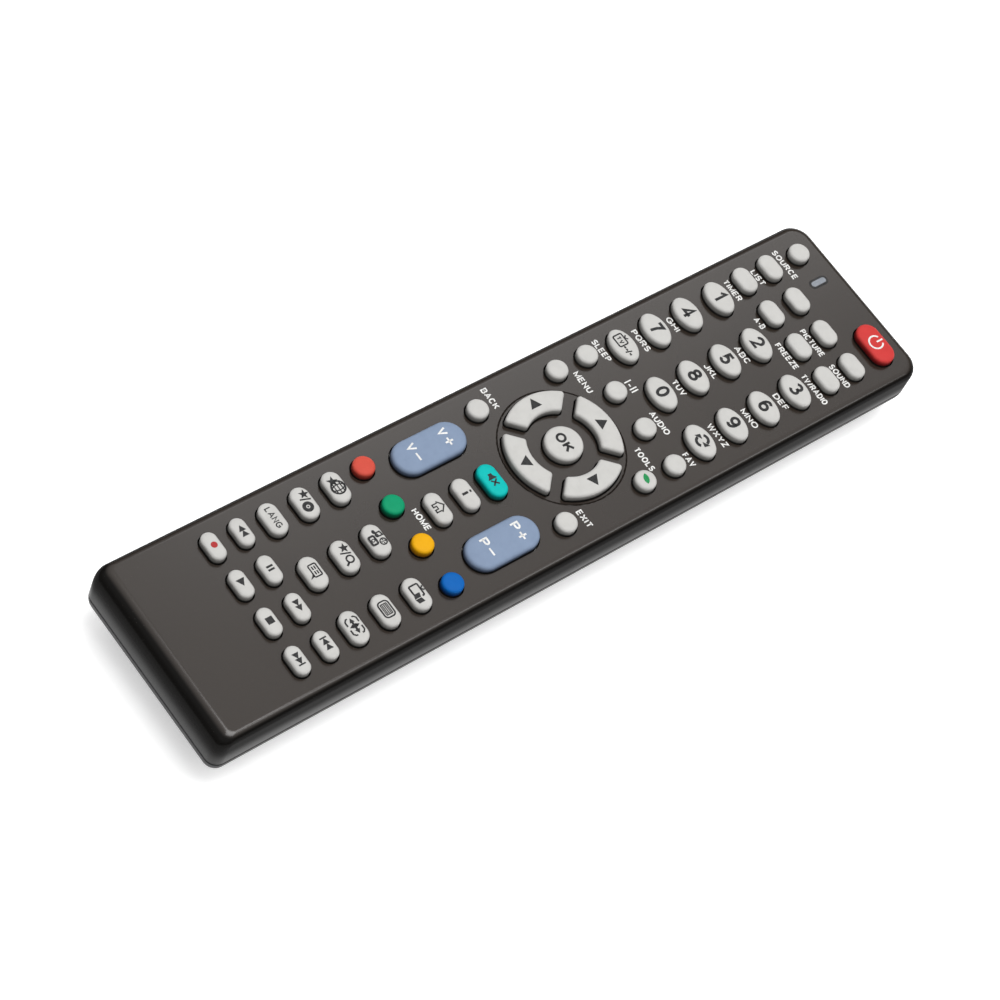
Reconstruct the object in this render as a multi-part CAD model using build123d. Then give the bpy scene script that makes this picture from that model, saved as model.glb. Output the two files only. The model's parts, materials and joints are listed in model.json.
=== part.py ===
from build123d import *

import os
from math import atan, cos, degrees, hypot, pi, radians, sin, tan

os.makedirs("parts", exist_ok=True)

# Television remote control: a slim two-part case, rubber keys on a circuit board, and two AAA cells
# behind a door in its back. Millimetres. The shapes are drawn in the frame of the face: X across,
# Y towards the head end, Z out of the face, with the face at Z = 0 and depths counted down from it.
# The finished part stands on its back: the rest plane is Z = 0 and the origin is under its middle.

# Case
edge_round = 2.1
tail_round = 4.1
head_corner_radius = 5.0
tail_corner_radius = 2.8
face_corner_sharpening = 1.6
wall = 2.0
panel = 2.0
floor = 1.8
taper_drop = 3.0
side_margin = 4.95
head_margin = 5.2
tail_margin = 23.35
parting_depth_tail = 9.4
parting_depth_head = 7.6
under_band = 2.5
under_inset = 7.3
band_round = 5.0
base_round = 3.0
round_steps = 6
bend_steps = 4
tool_reach = 4

# Joint between the two halves of the case
seam_gap = 0.3
seam_depth = 0.5
lip_inset = 1.1
lip_thickness = 1.05
lip_height = 1.5
lip_clearance = 0.1
snap_length = 8.0
snap_proud = 0.35
snap_height = 0.6
snap_count = 4
snap_margin = 30.0

# Keys: sizes in the plane of the face
field_width = 38.4
key_height = 2.2
key_edge_round = 0.75
key_gap = 0.35
round_diameter = 5.2
power_length, power_width = 11.4, 6.0
capsule_length, capsule_width = 7.2, 4.6
number_length, number_width = 9.3, 6.0
mute_length, mute_width = 8.9, 4.8
home_length, home_width = 8.4, 4.2
icon_length, icon_width = 8.3, 4.6
transport_length, transport_width = 7.2, 3.8
rocker_length, rocker_width = 19.3, 8.9
rocker_inset = 1.05
centre_key_diameter = 9.2
pad_outer_radius = 14.1
pad_inner_radius = 8.7
pad_split = 3.1
pad_corner_radius = 0.8
ring_groove_radius = 15.1
ring_groove_width = 0.4
ring_groove_depth = 0.25

# Keys: distances between rows, counted down the face from the row above
source_to_capsules = 9.4
capsule_pitch = 8.25
capsules_to_numbers = 9.25
number_pitch = 9.95
numbers_to_rounds = 9.4
rounds_to_menu = 9.0
menu_to_pad = 11.15
pad_to_back = 12.2
pad_to_mute = 20.8
mute_to_info = 7.5
info_to_home = 7.8
rocker_to_colours = 16.2
colours_to_icons = 8.75
icon_pitch = 8.5
icons_to_transport = 7.85
transport_pitch = 7.45

# Keys: below the face
flange_gap = 0.1
flange_thickness = 0.7
flange_reach = 0.55
key_travel = 0.9
travel_spare = 0.1
plunger_radius = 1.6
pill_radius = 1.2
pill_thickness = 0.25
pill_spare = 0.05
rocker_tilt = 5.0
rocker_pivot_depth = 1.0
rocker_skirt = 0.6
rocker_flange_length = 4.0
rocker_flange_gap = 0.3
rocker_flange_thickness = 0.3
rocker_plunger_offset = 6.3

# Keypad sheet, circuit board and what is on it
sheet_thickness = 0.9
sheet_inset = 1.0
plunger_clearance = 0.5
board_thickness = 1.2
board_side_gap = 0.5
board_corner_radius = 3.0
board_tail_reach = 9.0
pad_thickness = 0.1
pad_spread = 0.3
post_radius = 1.6
post_side_gap = 0.6
post_count = 4
post_margin = 22.0
chip_length, chip_width, chip_thickness = 12.8, 7.5, 2.3
chip_lead_count = 10
chip_lead_pitch = 1.27
chip_lead_width = 0.42
chip_lead_reach = 1.4
resonator_length, resonator_width, resonator_thickness = 10.8, 4.4, 3.4
resonator_edge_round = 0.5
capacitor_diameter, capacitor_length = 5.0, 7.5
capacitor_lead_width = 0.6
capacitor_lead_pitch = 2.5
transistor_diameter = 4.6
transistor_flat = 1.3
resistor_length, resistor_width, resistor_thickness = 3.2, 1.6, 0.6
resistor_count = 4
resistor_pitch = 3.2
chip_from_head = 66.0
resonator_from_head = 50.0
capacitor_from_head = 32.0
transistor_from_head = 16.0
resistors_from_head = 82.0
parts_offset = 9.0

# Lamp and light windows at the head end
lens_length, lens_width = 4.6, 1.7
lens_offset = 7.3
lens_proud = 0.12
lens_clearance = 0.08
lens_flange = 0.6
lens_flange_reach = 0.7
lens_lamp_gap = 0.2
lamp_length, lamp_width, lamp_thickness = 3.0, 1.6, 0.8
emitter_diameter = 3.0
emitter_clearance = 0.1
emitter_length = 5.3
emitter_rim = 0.35
emitter_rim_length = 1.0
emitter_set_back = 0.2
emitter_leg_width = 0.4
emitter_leg_gap = 1.9
emitter_leg_length = 2.4

# Battery bay: two AAA cells side by side
cell_diameter = 10.5
cell_length = 44.5
cell_button_diameter = 3.8
cell_button_height = 0.8
cell_spacing = 0.8
cell_gap = 0.3
cell_roof_gap = 0.1
cell_door_gap = 0.25
cell_edge_round = 0.5
bay_wall = 1.2
bay_roof = 1.0
bay_from_tail = 12.5
bay_board_gap = 0.2
spring_room = 6.1
contact_thickness = 0.4
contact_width = 7.4
contact_height = 8.0
contact_dimple = 0.6
contact_dimple_radius = 1.5
contact_tail_width = 2.0
spring_radius = 2.7
spring_wire = 0.5
spring_turns = 4
spring_end_gap = 0.05

# Battery door
door_thickness = 1.45
door_recess = 0.3
door_seat_gap = 0.05
door_gap = 0.25
door_overlap = 0.8
door_corner_radius = 1.2
tab_width = 4.0
tab_length = 1.8
tab_thickness = 0.75
tab_clearance = 0.3
tab_offset = 7.0
latch_width = 3.0
latch_height = 4.0
latch_thickness = 0.9
latch_gap = 0.2
grip_count = 6
grip_pitch = 2.0
grip_from_head = 4.0
grip_width = 0.9
grip_depth = 0.4
grip_length = 12.0
nail_notch_width = 9.0
nail_notch_radius = 5.0
nail_notch_depth = 1.0
nail_notch_reach = 2.6

# Depths below the face, worked out from the stack of pieces
flange_top_depth = panel + flange_gap
flange_bottom_depth = flange_top_depth + flange_thickness
sheet_top_depth = flange_bottom_depth + key_travel + travel_spare
board_top_depth = sheet_top_depth + sheet_thickness
board_bottom_depth = board_top_depth + board_thickness
contact_pad_top_depth = board_top_depth - pad_thickness
pill_bottom_depth = contact_pad_top_depth - key_travel - pill_spare
rocker_sweep = (rocker_plunger_offset + pill_radius) * sin(radians(rocker_tilt))
rocker_pill_depth = contact_pad_top_depth - rocker_sweep - pill_spare
bay_height = (door_recess + door_thickness + door_seat_gap + cell_door_gap
              + cell_diameter + cell_roof_gap + bay_roof)

# Rows of keys, as distances from the head end of the case
source_row = head_margin + round_diameter / 2
capsule_row = source_row + source_to_capsules
number_row = capsule_row + capsule_pitch + capsules_to_numbers
round_row = number_row + 3 * number_pitch + numbers_to_rounds
menu_row = round_row + rounds_to_menu
pad_row = menu_row + menu_to_pad
back_row = pad_row + pad_to_back
mute_row = pad_row + pad_to_mute
info_row = mute_row + mute_to_info
home_row = info_row + info_to_home
colour_row = info_row + rocker_to_colours
icon_row = colour_row + colours_to_icons
transport_row = icon_row + 2 * icon_pitch + icons_to_transport
last_row = transport_row + transport_pitch

# Overall sizes of the case
case_length = last_row + transport_width / 2 + tail_margin
case_width = field_width + 2 * side_margin
bay_length = contact_thickness * 2 + contact_dimple + spring_room + cell_length
bay_head_from_tail = bay_from_tail + bay_length
bay_half_width = cell_spacing / 2 + cell_diameter + cell_gap
thickness_tail = (board_bottom_depth + bay_board_gap + bay_height
                  + taper_drop * bay_head_from_tail / case_length)
thickness_head = thickness_tail - taper_drop
thickness_middle = (thickness_tail + thickness_head) / 2
wedge = atan(taper_drop / case_length)
parting_slope = atan((parting_depth_tail - parting_depth_head) / case_length)
parting_middle = (parting_depth_tail + parting_depth_head) / 2
under_slope = atan(under_inset / (thickness_middle - parting_middle - under_band))
deep = thickness_tail + tool_reach * wall


def from_head(distance):
    """Y of a place on the face, from its distance to the head end."""
    return case_length / 2 - distance


def case_plan(inset, sharpening, tail_extra=0):
    """The plan of the case, drawn in from its walls, by more at the tail if asked, and with corners
    that are sharper than its own."""
    plan = Rectangle(case_width - 2 * inset, case_length - 2 * inset - tail_extra)
    plan = Pos(0, tail_extra / 2) * plan
    plan = fillet(plan.vertices().group_by(Axis.Y)[-1], head_corner_radius - sharpening)
    return fillet(plan.vertices().group_by(Axis.Y)[0], tail_corner_radius - sharpening)


def slab(sketch, top, bottom):
    """A sketch made solid between two depths below the face; a negative depth is above it."""
    return extrude(Pos(0, 0, -bottom) * sketch, bottom - top)


def columns(count, width):
    """X of the middles of a row of equal keys that fills the width of the key field."""
    reach = (field_width - width) / 2
    return [-reach + 2 * reach * i / (count - 1) for i in range(count)]


def above(shape, plane):
    return split(shape, bisect_by=plane, keep=Keep.TOP)


def below(shape, plane):
    return split(shape, bisect_by=plane, keep=Keep.BOTTOM)


# Outer form, in the frame of the face: upright walls, and an edge that rounds over to the face
# while the corners of the plan sharpen. The round at the tail is larger and starts further down.
def round_inset(radius, depth):
    """How far a rounded edge is drawn in at a depth below the face."""
    rise = max(radius - depth, 0)
    return radius - (radius**2 - rise**2)**0.5


def edge_section(depth):
    inset = round_inset(edge_round, depth)
    tail_extra = round_inset(tail_round, depth) - inset
    sharpening = face_corner_sharpening * inset / edge_round
    return Pos(0, 0, -depth) * case_plan(inset, sharpening, tail_extra)


steps = range(round_steps + 1)
tail_depths = [tail_round + (edge_round - tail_round) * i / round_steps for i in steps]
edge_depths = [edge_round * (1 - sin(pi / 2 * i / round_steps)) for i in steps]
outer = slab(case_plan(0, 0), tail_round, deep)
outer += loft([edge_section(depth) for depth in tail_depths])
outer += loft([edge_section(depth) for depth in edge_depths])
hollow = slab(case_plan(wall, wall), panel, deep)

parting = Plane(origin=(0, 0, -parting_middle), z_dir=(0, -sin(parting_slope), cos(parting_slope)))
tilt = Pos(0, 0, thickness_middle) * Rot(-degrees(wedge), 0, 0)


def under_form(inset, band, back_height, back_inset, bend_radius, back_radius):
    """The case below the joint: an upright band, a bend, walls that slope in, and a rounded back.

    It is lofted through plans whose planes turn from the joint's slope to the level back.
    """
    joint = Plane(tilt * parting.location)
    depth = joint.origin.Z - back_height
    bend_start = band - bend_radius * tan(under_slope / 2)
    back_reach = back_radius * cos(under_slope) / (1 + sin(under_slope))

    def plan_at(drawn_in, drop):
        share = drop / depth
        level = Plane(joint.origin - Vector(0, 0, drop), x_dir=(1, 0, 0),
                      z_dir=joint.z_dir * (1 - share) + Vector(0, 0, share))
        return level * case_plan(drawn_in, inset)

    turns = [under_slope * i / bend_steps for i in range(bend_steps + 1)]
    bend = [plan_at(inset + bend_radius * (1 - cos(turn)), bend_start + bend_radius * sin(turn))
            for turn in turns]
    turns = [under_slope + (pi / 2 - under_slope) * i / bend_steps for i in range(bend_steps + 1)]
    back = [plan_at(back_inset + back_reach - back_radius * cos(turn),
                    depth - back_radius + back_radius * sin(turn)) for turn in turns]
    return (loft([plan_at(inset, 0), bend[0]], ruled=True) + loft(bend)
            + loft([bend[-1], back[0]], ruled=True) + loft(back))


# From the frame of the face to the finished part: the back is turned level and set on Z = 0,
# and the middle of the case's length goes to Y = 0
under = under_form(0, under_band, 0, under_inset, band_round, base_round)
form_box = (above(tilt * outer, Plane(tilt * parting.location)) + under).bounding_box()
centring = -(form_box.min.Y + form_box.max.Y) / 2
finish = Pos(0, centring, 0) * tilt
under = Pos(0, centring, 0) * under
under_hollow = Pos(0, centring, 0) * under_form(
    wall, under_band - wall * tan(under_slope / 2), floor,
    under_inset - floor * tan(under_slope) + wall / cos(under_slope),
    band_round - wall, base_round - wall)
parting_stood = Plane(finish * parting.location)
board_underside = Plane(finish * Plane.XY.offset(-board_bottom_depth).location)
tail_end = centring - case_length / 2 * cos(wedge)
head_end = centring + case_length / 2 * cos(wedge)


def save(name, shapes):
    """Writes one node: the solids of a list of shapes in the finished part's frame."""
    solids = [solid for shape in shapes for solid in shape.solids()]
    export_step(solids[0] if len(solids) == 1 else Compound(solids), f"parts/{name}.step")


def save_from_face(name, shapes):
    save(name, [finish * shape for shape in shapes])


# Outlines of the keys: each is a function of how far it is grown all round
def round_key(diameter):
    return lambda grow: Circle(diameter / 2 + grow)


def oval_key(length, width):
    return lambda grow: Ellipse(length / 2 + grow, width / 2 + grow)


def capsule_key(length, width):
    return lambda grow: SlotOverall(length + 2 * grow, width + 2 * grow)


def upright_capsule_key(length, width):
    return lambda grow: Rot(0, 0, 90) * SlotOverall(length + 2 * grow, width + 2 * grow)


def arc_key(turn):
    """A quarter of the direction ring, between two slanting gaps; turn 0 is the head side."""
    def shape(grow):
        ring = Circle(pad_outer_radius + grow) - Circle(pad_inner_radius - grow)
        gap = pad_split - 2 * grow
        reach = 2 * pad_outer_radius
        quarter = Polygon((0, gap / 2**0.5), (reach, reach + gap / 2**0.5),
                          (-reach, reach + gap / 2**0.5), align=None)
        sector = ring & quarter
        corner = pad_corner_radius + grow
        return Rot(0, 0, turn) * fillet(sector.vertices(), corner)
    return shape


def pad_place(turn):
    """Where the plunger of a direction key is, from the middle of the ring."""
    middle = (pad_outer_radius + pad_inner_radius) / 2
    return (-middle * sin(radians(turn)), middle * cos(radians(turn)))


def plunger(x, y, top, tip):
    """A key's leg, and the carbon pill at its end."""
    leg = Pos(x, y) * slab(Circle(plunger_radius), top, tip - pill_thickness)
    pill = Pos(x, y) * slab(Circle(pill_radius), tip - pill_thickness, tip)
    return leg, pill


def push_key(shape, x, y, leg_place=(0, 0)):
    """A key that moves straight in: cap, flange under the cover, leg and carbon pill."""
    cap = Pos(x, y) * slab(shape(0), -key_height, flange_bottom_depth)
    cap = fillet(cap.faces().sort_by(Axis.Z)[-1].edges(), key_edge_round)
    flange = Pos(x, y) * slab(shape(key_gap + flange_reach), flange_top_depth, flange_bottom_depth)
    leg, pill = plunger(x + leg_place[0], y + leg_place[1], flange_bottom_depth, pill_bottom_depth)
    return [cap + flange + leg, pill]


def rocker_key(x, y):
    """A long key that tilts about its middle, with a leg and a pill under each end."""
    bottom = panel + rocker_skirt
    shape = upright_capsule_key(rocker_length, rocker_width)
    body = Pos(x, y) * slab(shape(0), -key_height, bottom)
    body = fillet(body.faces().sort_by(Axis.Z)[-1].edges(), key_edge_round)
    wing = Rectangle(rocker_width + 2 * (key_gap + flange_reach), rocker_flange_length)
    wing_top = panel + rocker_flange_gap
    body += Pos(x, y) * slab(wing, wing_top, wing_top + rocker_flange_thickness)
    pills = []
    for side in (-1, 1):
        leg, pill = plunger(x, y + side * rocker_plunger_offset, bottom, rocker_pill_depth)
        body += leg
        pills.append(pill)
    return [body] + pills


# Every key: node name, outline, place of its middle, and place of its leg
capsule = capsule_key(capsule_length, capsule_width)
number = oval_key(number_length, number_width)
small_round = round_key(round_diameter)
icon = capsule_key(icon_length, icon_width)
transport = capsule_key(transport_length, transport_width)
home = capsule_key(home_length, home_width)
edge_x = (field_width - round_diameter) / 2
keys = [
    ("source_key", small_round, (field_width - capsule_length) / -2, source_row),
    ("power_key", capsule_key(power_length, power_width),
     (field_width - power_length) / 2, source_row),
    ("menu_key", small_round, -edge_x, menu_row),
    ("quick_menu_key", small_round, edge_x, menu_row),
    ("ok_key", round_key(centre_key_diameter), 0, pad_row),
    ("back_key", small_round, -edge_x, back_row),
    ("exit_key", small_round, edge_x, back_row),
    ("mute_key", capsule_key(mute_length, mute_width), 0, mute_row),
    ("info_key", home, 0, info_row),
    ("home_key", home, 0, home_row),
]
number_names = ["one", "two", "three", "four", "five", "six", "seven", "eight", "nine",
                "channel_digits", "zero", "swap"]
number_columns = columns(3, number_length)
for place, name in enumerate(number_names):
    row = number_row + number_pitch * (place // 3)
    keys.append((f"{name}_key", number, number_columns[place % 3], row))
for name, x in zip(("red", "green", "yellow", "blue"), columns(4, round_diameter)):
    keys.append((f"{name}_key", small_round, x, colour_row))
for row in range(2):
    for x in columns(4, capsule_length):
        keys.append((f"mode_keys_row_{row + 1}", capsule, x, capsule_row + capsule_pitch * row))
for x in columns(4, round_diameter):
    keys.append(("sound_keys", small_round, x, round_row))
for row in range(3):
    for x in columns(3, icon_length):
        keys.append((f"function_keys_row_{row + 1}", icon, x, icon_row + icon_pitch * row))
for row in range(2):
    for x in columns(4, transport_length):
        place = transport_row + transport_pitch * row
        keys.append((f"playback_keys_row_{row + 1}", transport, x, place))
keys = [(name, shape, x, from_head(row), (0, 0)) for name, shape, x, row in keys]
for name, turn in (("up", 0), ("left", 90), ("down", 180), ("right", 270)):
    keys.append((f"{name}_key", arc_key(turn), 0, from_head(pad_row), pad_place(turn)))
rocker_x = field_width / 2 - rocker_inset - rocker_width / 2
rocker_y = from_head(info_row)
rockers = [("volume_rocker", -rocker_x, rocker_y), ("channel_rocker", rocker_x, rocker_y)]
rocker_shape = upright_capsule_key(rocker_length, rocker_width)

solids_of_key = {}
for name, shape, x, y, leg_place in keys:
    solids_of_key.setdefault(name, []).extend(push_key(shape, x, y, leg_place))
for name, x, y in rockers:
    solids_of_key[name] = rocker_key(x, y)
leg_places = [(x + leg[0], y + leg[1]) for name, shape, x, y, leg in keys]
leg_places += [(x, y + side * rocker_plunger_offset) for name, x, y in rockers for side in (-1, 1)]

# Top cover: the face with a hole for every key and for the lamp's lens, and its skirt
lens_y = from_head(source_row)
lens_shape = upright_capsule_key(lens_length, lens_width)
holes = [Pos(x, y) * shape(key_gap) for name, shape, x, y, leg in keys]
holes += [Pos(x, y) * rocker_shape(key_gap) for name, x, y in rockers]
holes.append(Pos(-lens_offset, lens_y) * lens_shape(lens_clearance))
cover = above(outer, parting) - hollow
rabbet = slab(case_plan(lip_inset - lip_clearance, lip_inset), panel, deep)
cover -= below(rabbet, parting.offset(lip_height + lip_clearance))
cover -= slab(Sketch() + holes, -edge_round, panel + edge_round)
ring = Circle(ring_groove_radius + ring_groove_width / 2)
ring -= Circle(ring_groove_radius - ring_groove_width / 2)
cover -= Pos(0, from_head(pad_row)) * slab(ring, -edge_round, ring_groove_depth)

# Snaps: low beads on the bottom shell's lip that click into pockets of the cover's skirt
snap_places = [snap_margin + (case_length - 2 * snap_margin) * i / (snap_count - 1)
               for i in range(snap_count)]


def snap_blocks(grow):
    """The beads, or the pockets when grown, on both long sides of the joint."""
    reach = case_width / 2 - lip_inset + snap_proud + grow
    blocks = []
    for distance in snap_places:
        y = from_head(distance)
        depth = parting_middle - y / case_length * (parting_depth_tail - parting_depth_head)
        size = (2 * reach, snap_length + 2 * grow, snap_height + 2 * grow)
        blocks.append(Pos(0, y, lip_height / 2 - depth) * Box(*size))
    return blocks


cover -= snap_blocks(lip_clearance)

# The infrared emitter looks out through the head wall, half in each shell, at the joint line
emitter_radius = emitter_diameter / 2
emitter_z = (finish * Pos(0, case_length / 2, -parting_depth_head)).position.Z
emitter_hole = Pos(0, head_end, emitter_z) * Cylinder(
    emitter_radius + emitter_clearance, tool_reach * wall, rotation=(90, 0, 0))
save("top_cover", [finish * cover - emitter_hole])

# Bottom shell: tray, lip, snaps and board posts
shell = under - under_hollow
seam_core = finish * slab(case_plan(seam_depth, seam_depth), panel, deep)
shell -= above(under, parting_stood.offset(-seam_gap)) - seam_core
lip_outside = finish * slab(case_plan(lip_inset, lip_inset), panel, deep)
lip_back = lip_inset + lip_thickness
lip_inside = finish * slab(case_plan(lip_back, lip_back), 0, deep)
lip = below(lip_outside, parting_stood.offset(lip_height)) - lip_inside
shell += above(lip, parting_stood.offset(-lip_height))
shell += [finish * block - lip_inside for block in snap_blocks(0)]
post_x = bay_half_width + bay_wall + post_side_gap + post_radius
post_span = case_length - 2 * post_margin
for i in range(post_count):
    post_y = tail_end + post_margin + post_span * i / (post_count - 1)
    for side in (-1, 1):
        post = Pos(side * post_x, post_y) * extrude(Circle(post_radius), deep)
        foot = below(post, parting_stood) & under
        shell += foot + below(above(post, parting_stood), board_underside)

# Battery bay: walls and roof on the shell's floor, open below, with the door's seat around it
bay_tail = tail_end + bay_from_tail
bay_head = bay_tail + bay_length
bay_middle = (bay_tail + bay_head) / 2
bay_box = Box(2 * (bay_half_width + bay_wall), bay_length + 2 * bay_wall, bay_height,
              align=(Align.CENTER, Align.CENTER, Align.MIN))
bay_room = Box(2 * bay_half_width, bay_length, bay_height - bay_roof,
               align=(Align.CENTER, Align.CENTER, Align.MIN))
door_half_width = bay_half_width + door_overlap
door_length = bay_length + 2 * door_overlap
door_top = door_recess + door_thickness
door_seat = door_top + door_seat_gap
door_opening = extrude(RectangleRounded(2 * (door_half_width + door_gap),
                                        door_length + 2 * door_gap, door_corner_radius),
                       door_seat)
door_hinge_y = bay_middle - door_length / 2
tab_bottom = door_top - tab_thickness
tab_swing = hypot(tab_length, door_thickness) + door_recess + tab_clearance
tab_slot_length = tab_length + door_gap + tab_clearance + 2 * bay_wall
shell += Pos(0, bay_middle) * bay_box
shell -= Pos(0, bay_middle) * bay_room
shell -= Pos(0, bay_middle) * door_opening
for side in (-1, 1):
    slot = Box(tab_width + 2 * tab_clearance, tab_slot_length, tab_swing - tab_bottom + tab_clearance,
               align=(Align.CENTER, Align.MIN, Align.MIN))
    shell -= Pos(side * tab_offset, door_hinge_y - tab_length - tab_clearance,
                 tab_bottom - tab_clearance) * slot
nail_notch = Pos(0, bay_middle + door_length / 2, nail_notch_depth - nail_notch_radius)
notch_tool = Cylinder(nail_notch_radius, nail_notch_width, rotation=(0, 90, 0))
shell -= nail_notch * (notch_tool & Pos(0, nail_notch_reach / 2) * Box(
    nail_notch_width, nail_notch_reach, tool_reach * nail_notch_radius))

# Slots in the bay's roof for the tails of the two head contacts
cell_x = (cell_spacing + cell_diameter) / 2
tail_slot = Box(contact_tail_width + 2 * tab_clearance, contact_thickness + tab_clearance,
                tool_reach * bay_roof)
for side in (-1, 1):
    shell -= Pos(side * cell_x, bay_head - (contact_thickness + tab_clearance) / 2,
                 bay_height) * tail_slot

# Lower half of the hole in the head wall for the infrared emitter
shell -= emitter_hole
save("bottom_shell", [shell])

# Battery door: plate, two tabs at its tail, a latch tongue at its head, and grip grooves outside
door = extrude(Pos(0, bay_middle, door_recess) * RectangleRounded(
    2 * door_half_width, door_length, door_corner_radius), door_thickness)
for side in (-1, 1):
    tab = Box(tab_width, tab_length + door_thickness, tab_thickness,
              align=(Align.CENTER, Align.MIN, Align.MIN))
    door += Pos(side * tab_offset, door_hinge_y - tab_length, tab_bottom) * tab
latch = Box(latch_width, latch_thickness, latch_height, align=(Align.CENTER, Align.MAX, Align.MIN))
door += Pos(0, bay_head - latch_gap, door_top - door_thickness / 2) * latch
for i in range(grip_count):
    groove_y = bay_middle + door_length / 2 - grip_from_head - i * grip_pitch
    door -= Pos(0, groove_y, door_recess) * Box(grip_length, grip_width, 2 * grip_depth)
save("battery_door", [door])

# Cells: one points to the head, the other to the tail
cell_z = door_seat + cell_door_gap + cell_diameter / 2


def cell(side):
    """A cell lying along Y; its button faces the head on the left and the tail on the right."""
    body_length = cell_length - cell_button_height
    can = fillet(Cylinder(cell_diameter / 2, body_length,
                          align=(Align.CENTER, Align.CENTER, Align.MIN)).edges(), cell_edge_round)
    button = Pos(0, 0, body_length) * Cylinder(cell_button_diameter / 2, cell_button_height,
                                               align=(Align.CENTER, Align.CENTER, Align.MIN))
    flat_end = contact_thickness + spring_room
    y = bay_tail + flat_end if side < 0 else bay_head - flat_end
    return Pos(side * cell_x, y, cell_z) * Rot(90 * side, 0, 0) * (can + button)


save("left_battery", [cell(-1)])
save("right_battery", [cell(1)])

# Contacts: thin plates at the ends of the bay, a coil spring for each flat end of a cell
plate = Box(contact_width, contact_thickness, contact_height)
wide_plate = Box(contact_width + 2 * cell_x, contact_thickness, contact_height)
spring_length = spring_room - spring_wire - 2 * spring_end_gap


def coil(x, y, direction):
    """A coil spring from its plate at y towards the cell; direction is 1 to the head."""
    path = Helix(spring_length / spring_turns, spring_length, spring_radius)
    section = Plane(origin=path @ 0, z_dir=path % 0) * Circle(spring_wire / 2)
    wound = sweep(section, path=path, is_frenet=True)
    start = y + direction * (spring_end_gap + spring_wire / 2)
    return Pos(x, start, cell_z) * Rot(-90 * direction, 0, 0) * wound


def dimple(x, y, direction):
    """The raised point of a plate that meets a cell's button."""
    cone = Cone(2 * contact_dimple_radius, contact_dimple_radius, contact_dimple,
                align=(Align.CENTER, Align.CENTER, Align.MIN))
    return Pos(x, y, cell_z) * Rot(-90 * direction, 0, 0) * cone


def contact_tail(x, y):
    """The strip from a plate up through the bay's roof to the underside of the board."""
    strip = Pos(x, y, cell_z) * extrude(Rectangle(contact_tail_width, contact_thickness), deep)
    return below(strip, board_underside)


head_face = bay_head - contact_thickness
head_plate_y = bay_head - contact_thickness / 2
tail_face = bay_tail + contact_thickness
tail_plate_y = bay_tail + contact_thickness / 2
positive = Pos(-cell_x, head_plate_y, cell_z) * plate + contact_tail(-cell_x, head_plate_y)
positive += dimple(-cell_x, head_face, -1)
negative = Pos(cell_x, head_plate_y, cell_z) * plate + contact_tail(cell_x, head_plate_y)
link = Pos(0, tail_plate_y, cell_z) * wide_plate + dimple(cell_x, tail_face, 1)
save("positive_contact", [positive])
save("negative_contact", [negative])
save("link_contact", [link])
save("contact_springs", [coil(-cell_x, tail_face, 1), coil(cell_x, head_face, -1)])

# Circuit board and keypad sheet, under the whole key field
board_tail = from_head(last_row + board_tail_reach)
board_head = case_length / 2 - wall - board_side_gap
board_width = case_width - 2 * (wall + board_side_gap)
board_plan = Pos(0, (board_tail + board_head) / 2) * RectangleRounded(
    board_width, board_head - board_tail, board_corner_radius)
notch_half = emitter_radius + emitter_rim + board_side_gap
notch_reach = emitter_set_back + emitter_length + board_side_gap
board_plan -= Pos(0, case_length / 2) * Rectangle(2 * notch_half, 2 * notch_reach)
sheet_plan = Pos(0, (board_tail + board_head) / 2) * RectangleRounded(
    board_width - 2 * sheet_inset, board_head - board_tail - 2 * sheet_inset, board_corner_radius)
save_from_face("circuit_board", [slab(board_plan, board_top_depth, board_bottom_depth)])
sheet_hole = Circle(plunger_radius + plunger_clearance)
lamp_hole = Rectangle(lamp_length + 2 * plunger_clearance, lamp_width + 2 * plunger_clearance)
sheet_holes = [Pos(x, y) * sheet_hole for x, y in leg_places]
sheet_holes.append(Pos(-lens_offset, lens_y) * Rot(0, 0, 90) * lamp_hole)
save_from_face("keypad_sheet", [slab(sheet_plan - sheet_holes, sheet_top_depth, board_top_depth)])
carbon = Circle(pill_radius + pad_spread)
save_from_face("board_contacts", [Pos(x, y) * slab(carbon, contact_pad_top_depth, board_top_depth)
                                  for x, y in leg_places])


# Pieces soldered under the board: they hang from its underside
def under_board(sketch, thickness):
    return slab(sketch, board_bottom_depth, board_bottom_depth + thickness)


chip = under_board(Rectangle(chip_length, chip_width), chip_thickness)
lead = under_board(Rectangle(chip_lead_width, chip_width + 2 * chip_lead_reach), chip_lead_width)
for i in range(chip_lead_count):
    chip += Pos((i - (chip_lead_count - 1) / 2) * chip_lead_pitch, 0) * lead
save_from_face("controller_chip", [Pos(0, from_head(chip_from_head)) * chip])
can = under_board(SlotOverall(resonator_length, resonator_width), resonator_thickness)
can = fillet(can.faces().sort_by(Axis.Z)[0].edges(), resonator_edge_round)
save_from_face("resonator", [Pos(parts_offset, from_head(resonator_from_head)) * can])
barrel = Cylinder(capacitor_diameter / 2, capacitor_length, rotation=(90, 0, 0))
legs = [Pos(side * capacitor_lead_pitch / 2, 0, capacitor_diameter / 4) * Box(
    capacitor_lead_width, capacitor_lead_width, capacitor_diameter / 2) for side in (-1, 1)]
save_from_face("capacitor", [Pos(-parts_offset, from_head(capacitor_from_head),
                                 -board_bottom_depth - capacitor_diameter / 2) * (barrel + legs)])
round_part = Circle(transistor_diameter / 2) - Pos(
    0, -transistor_diameter / 2 - transistor_flat) * Rectangle(transistor_diameter, transistor_diameter)
save_from_face("emitter_transistor", [Pos(parts_offset, from_head(transistor_from_head))
                                      * under_board(round_part, transistor_diameter)])
resistor = under_board(Rectangle(resistor_length, resistor_width), resistor_thickness)
save_from_face("resistors", [Pos(-parts_offset, from_head(resistors_from_head + resistor_pitch * i))
                             * resistor for i in range(resistor_count)])

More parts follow.
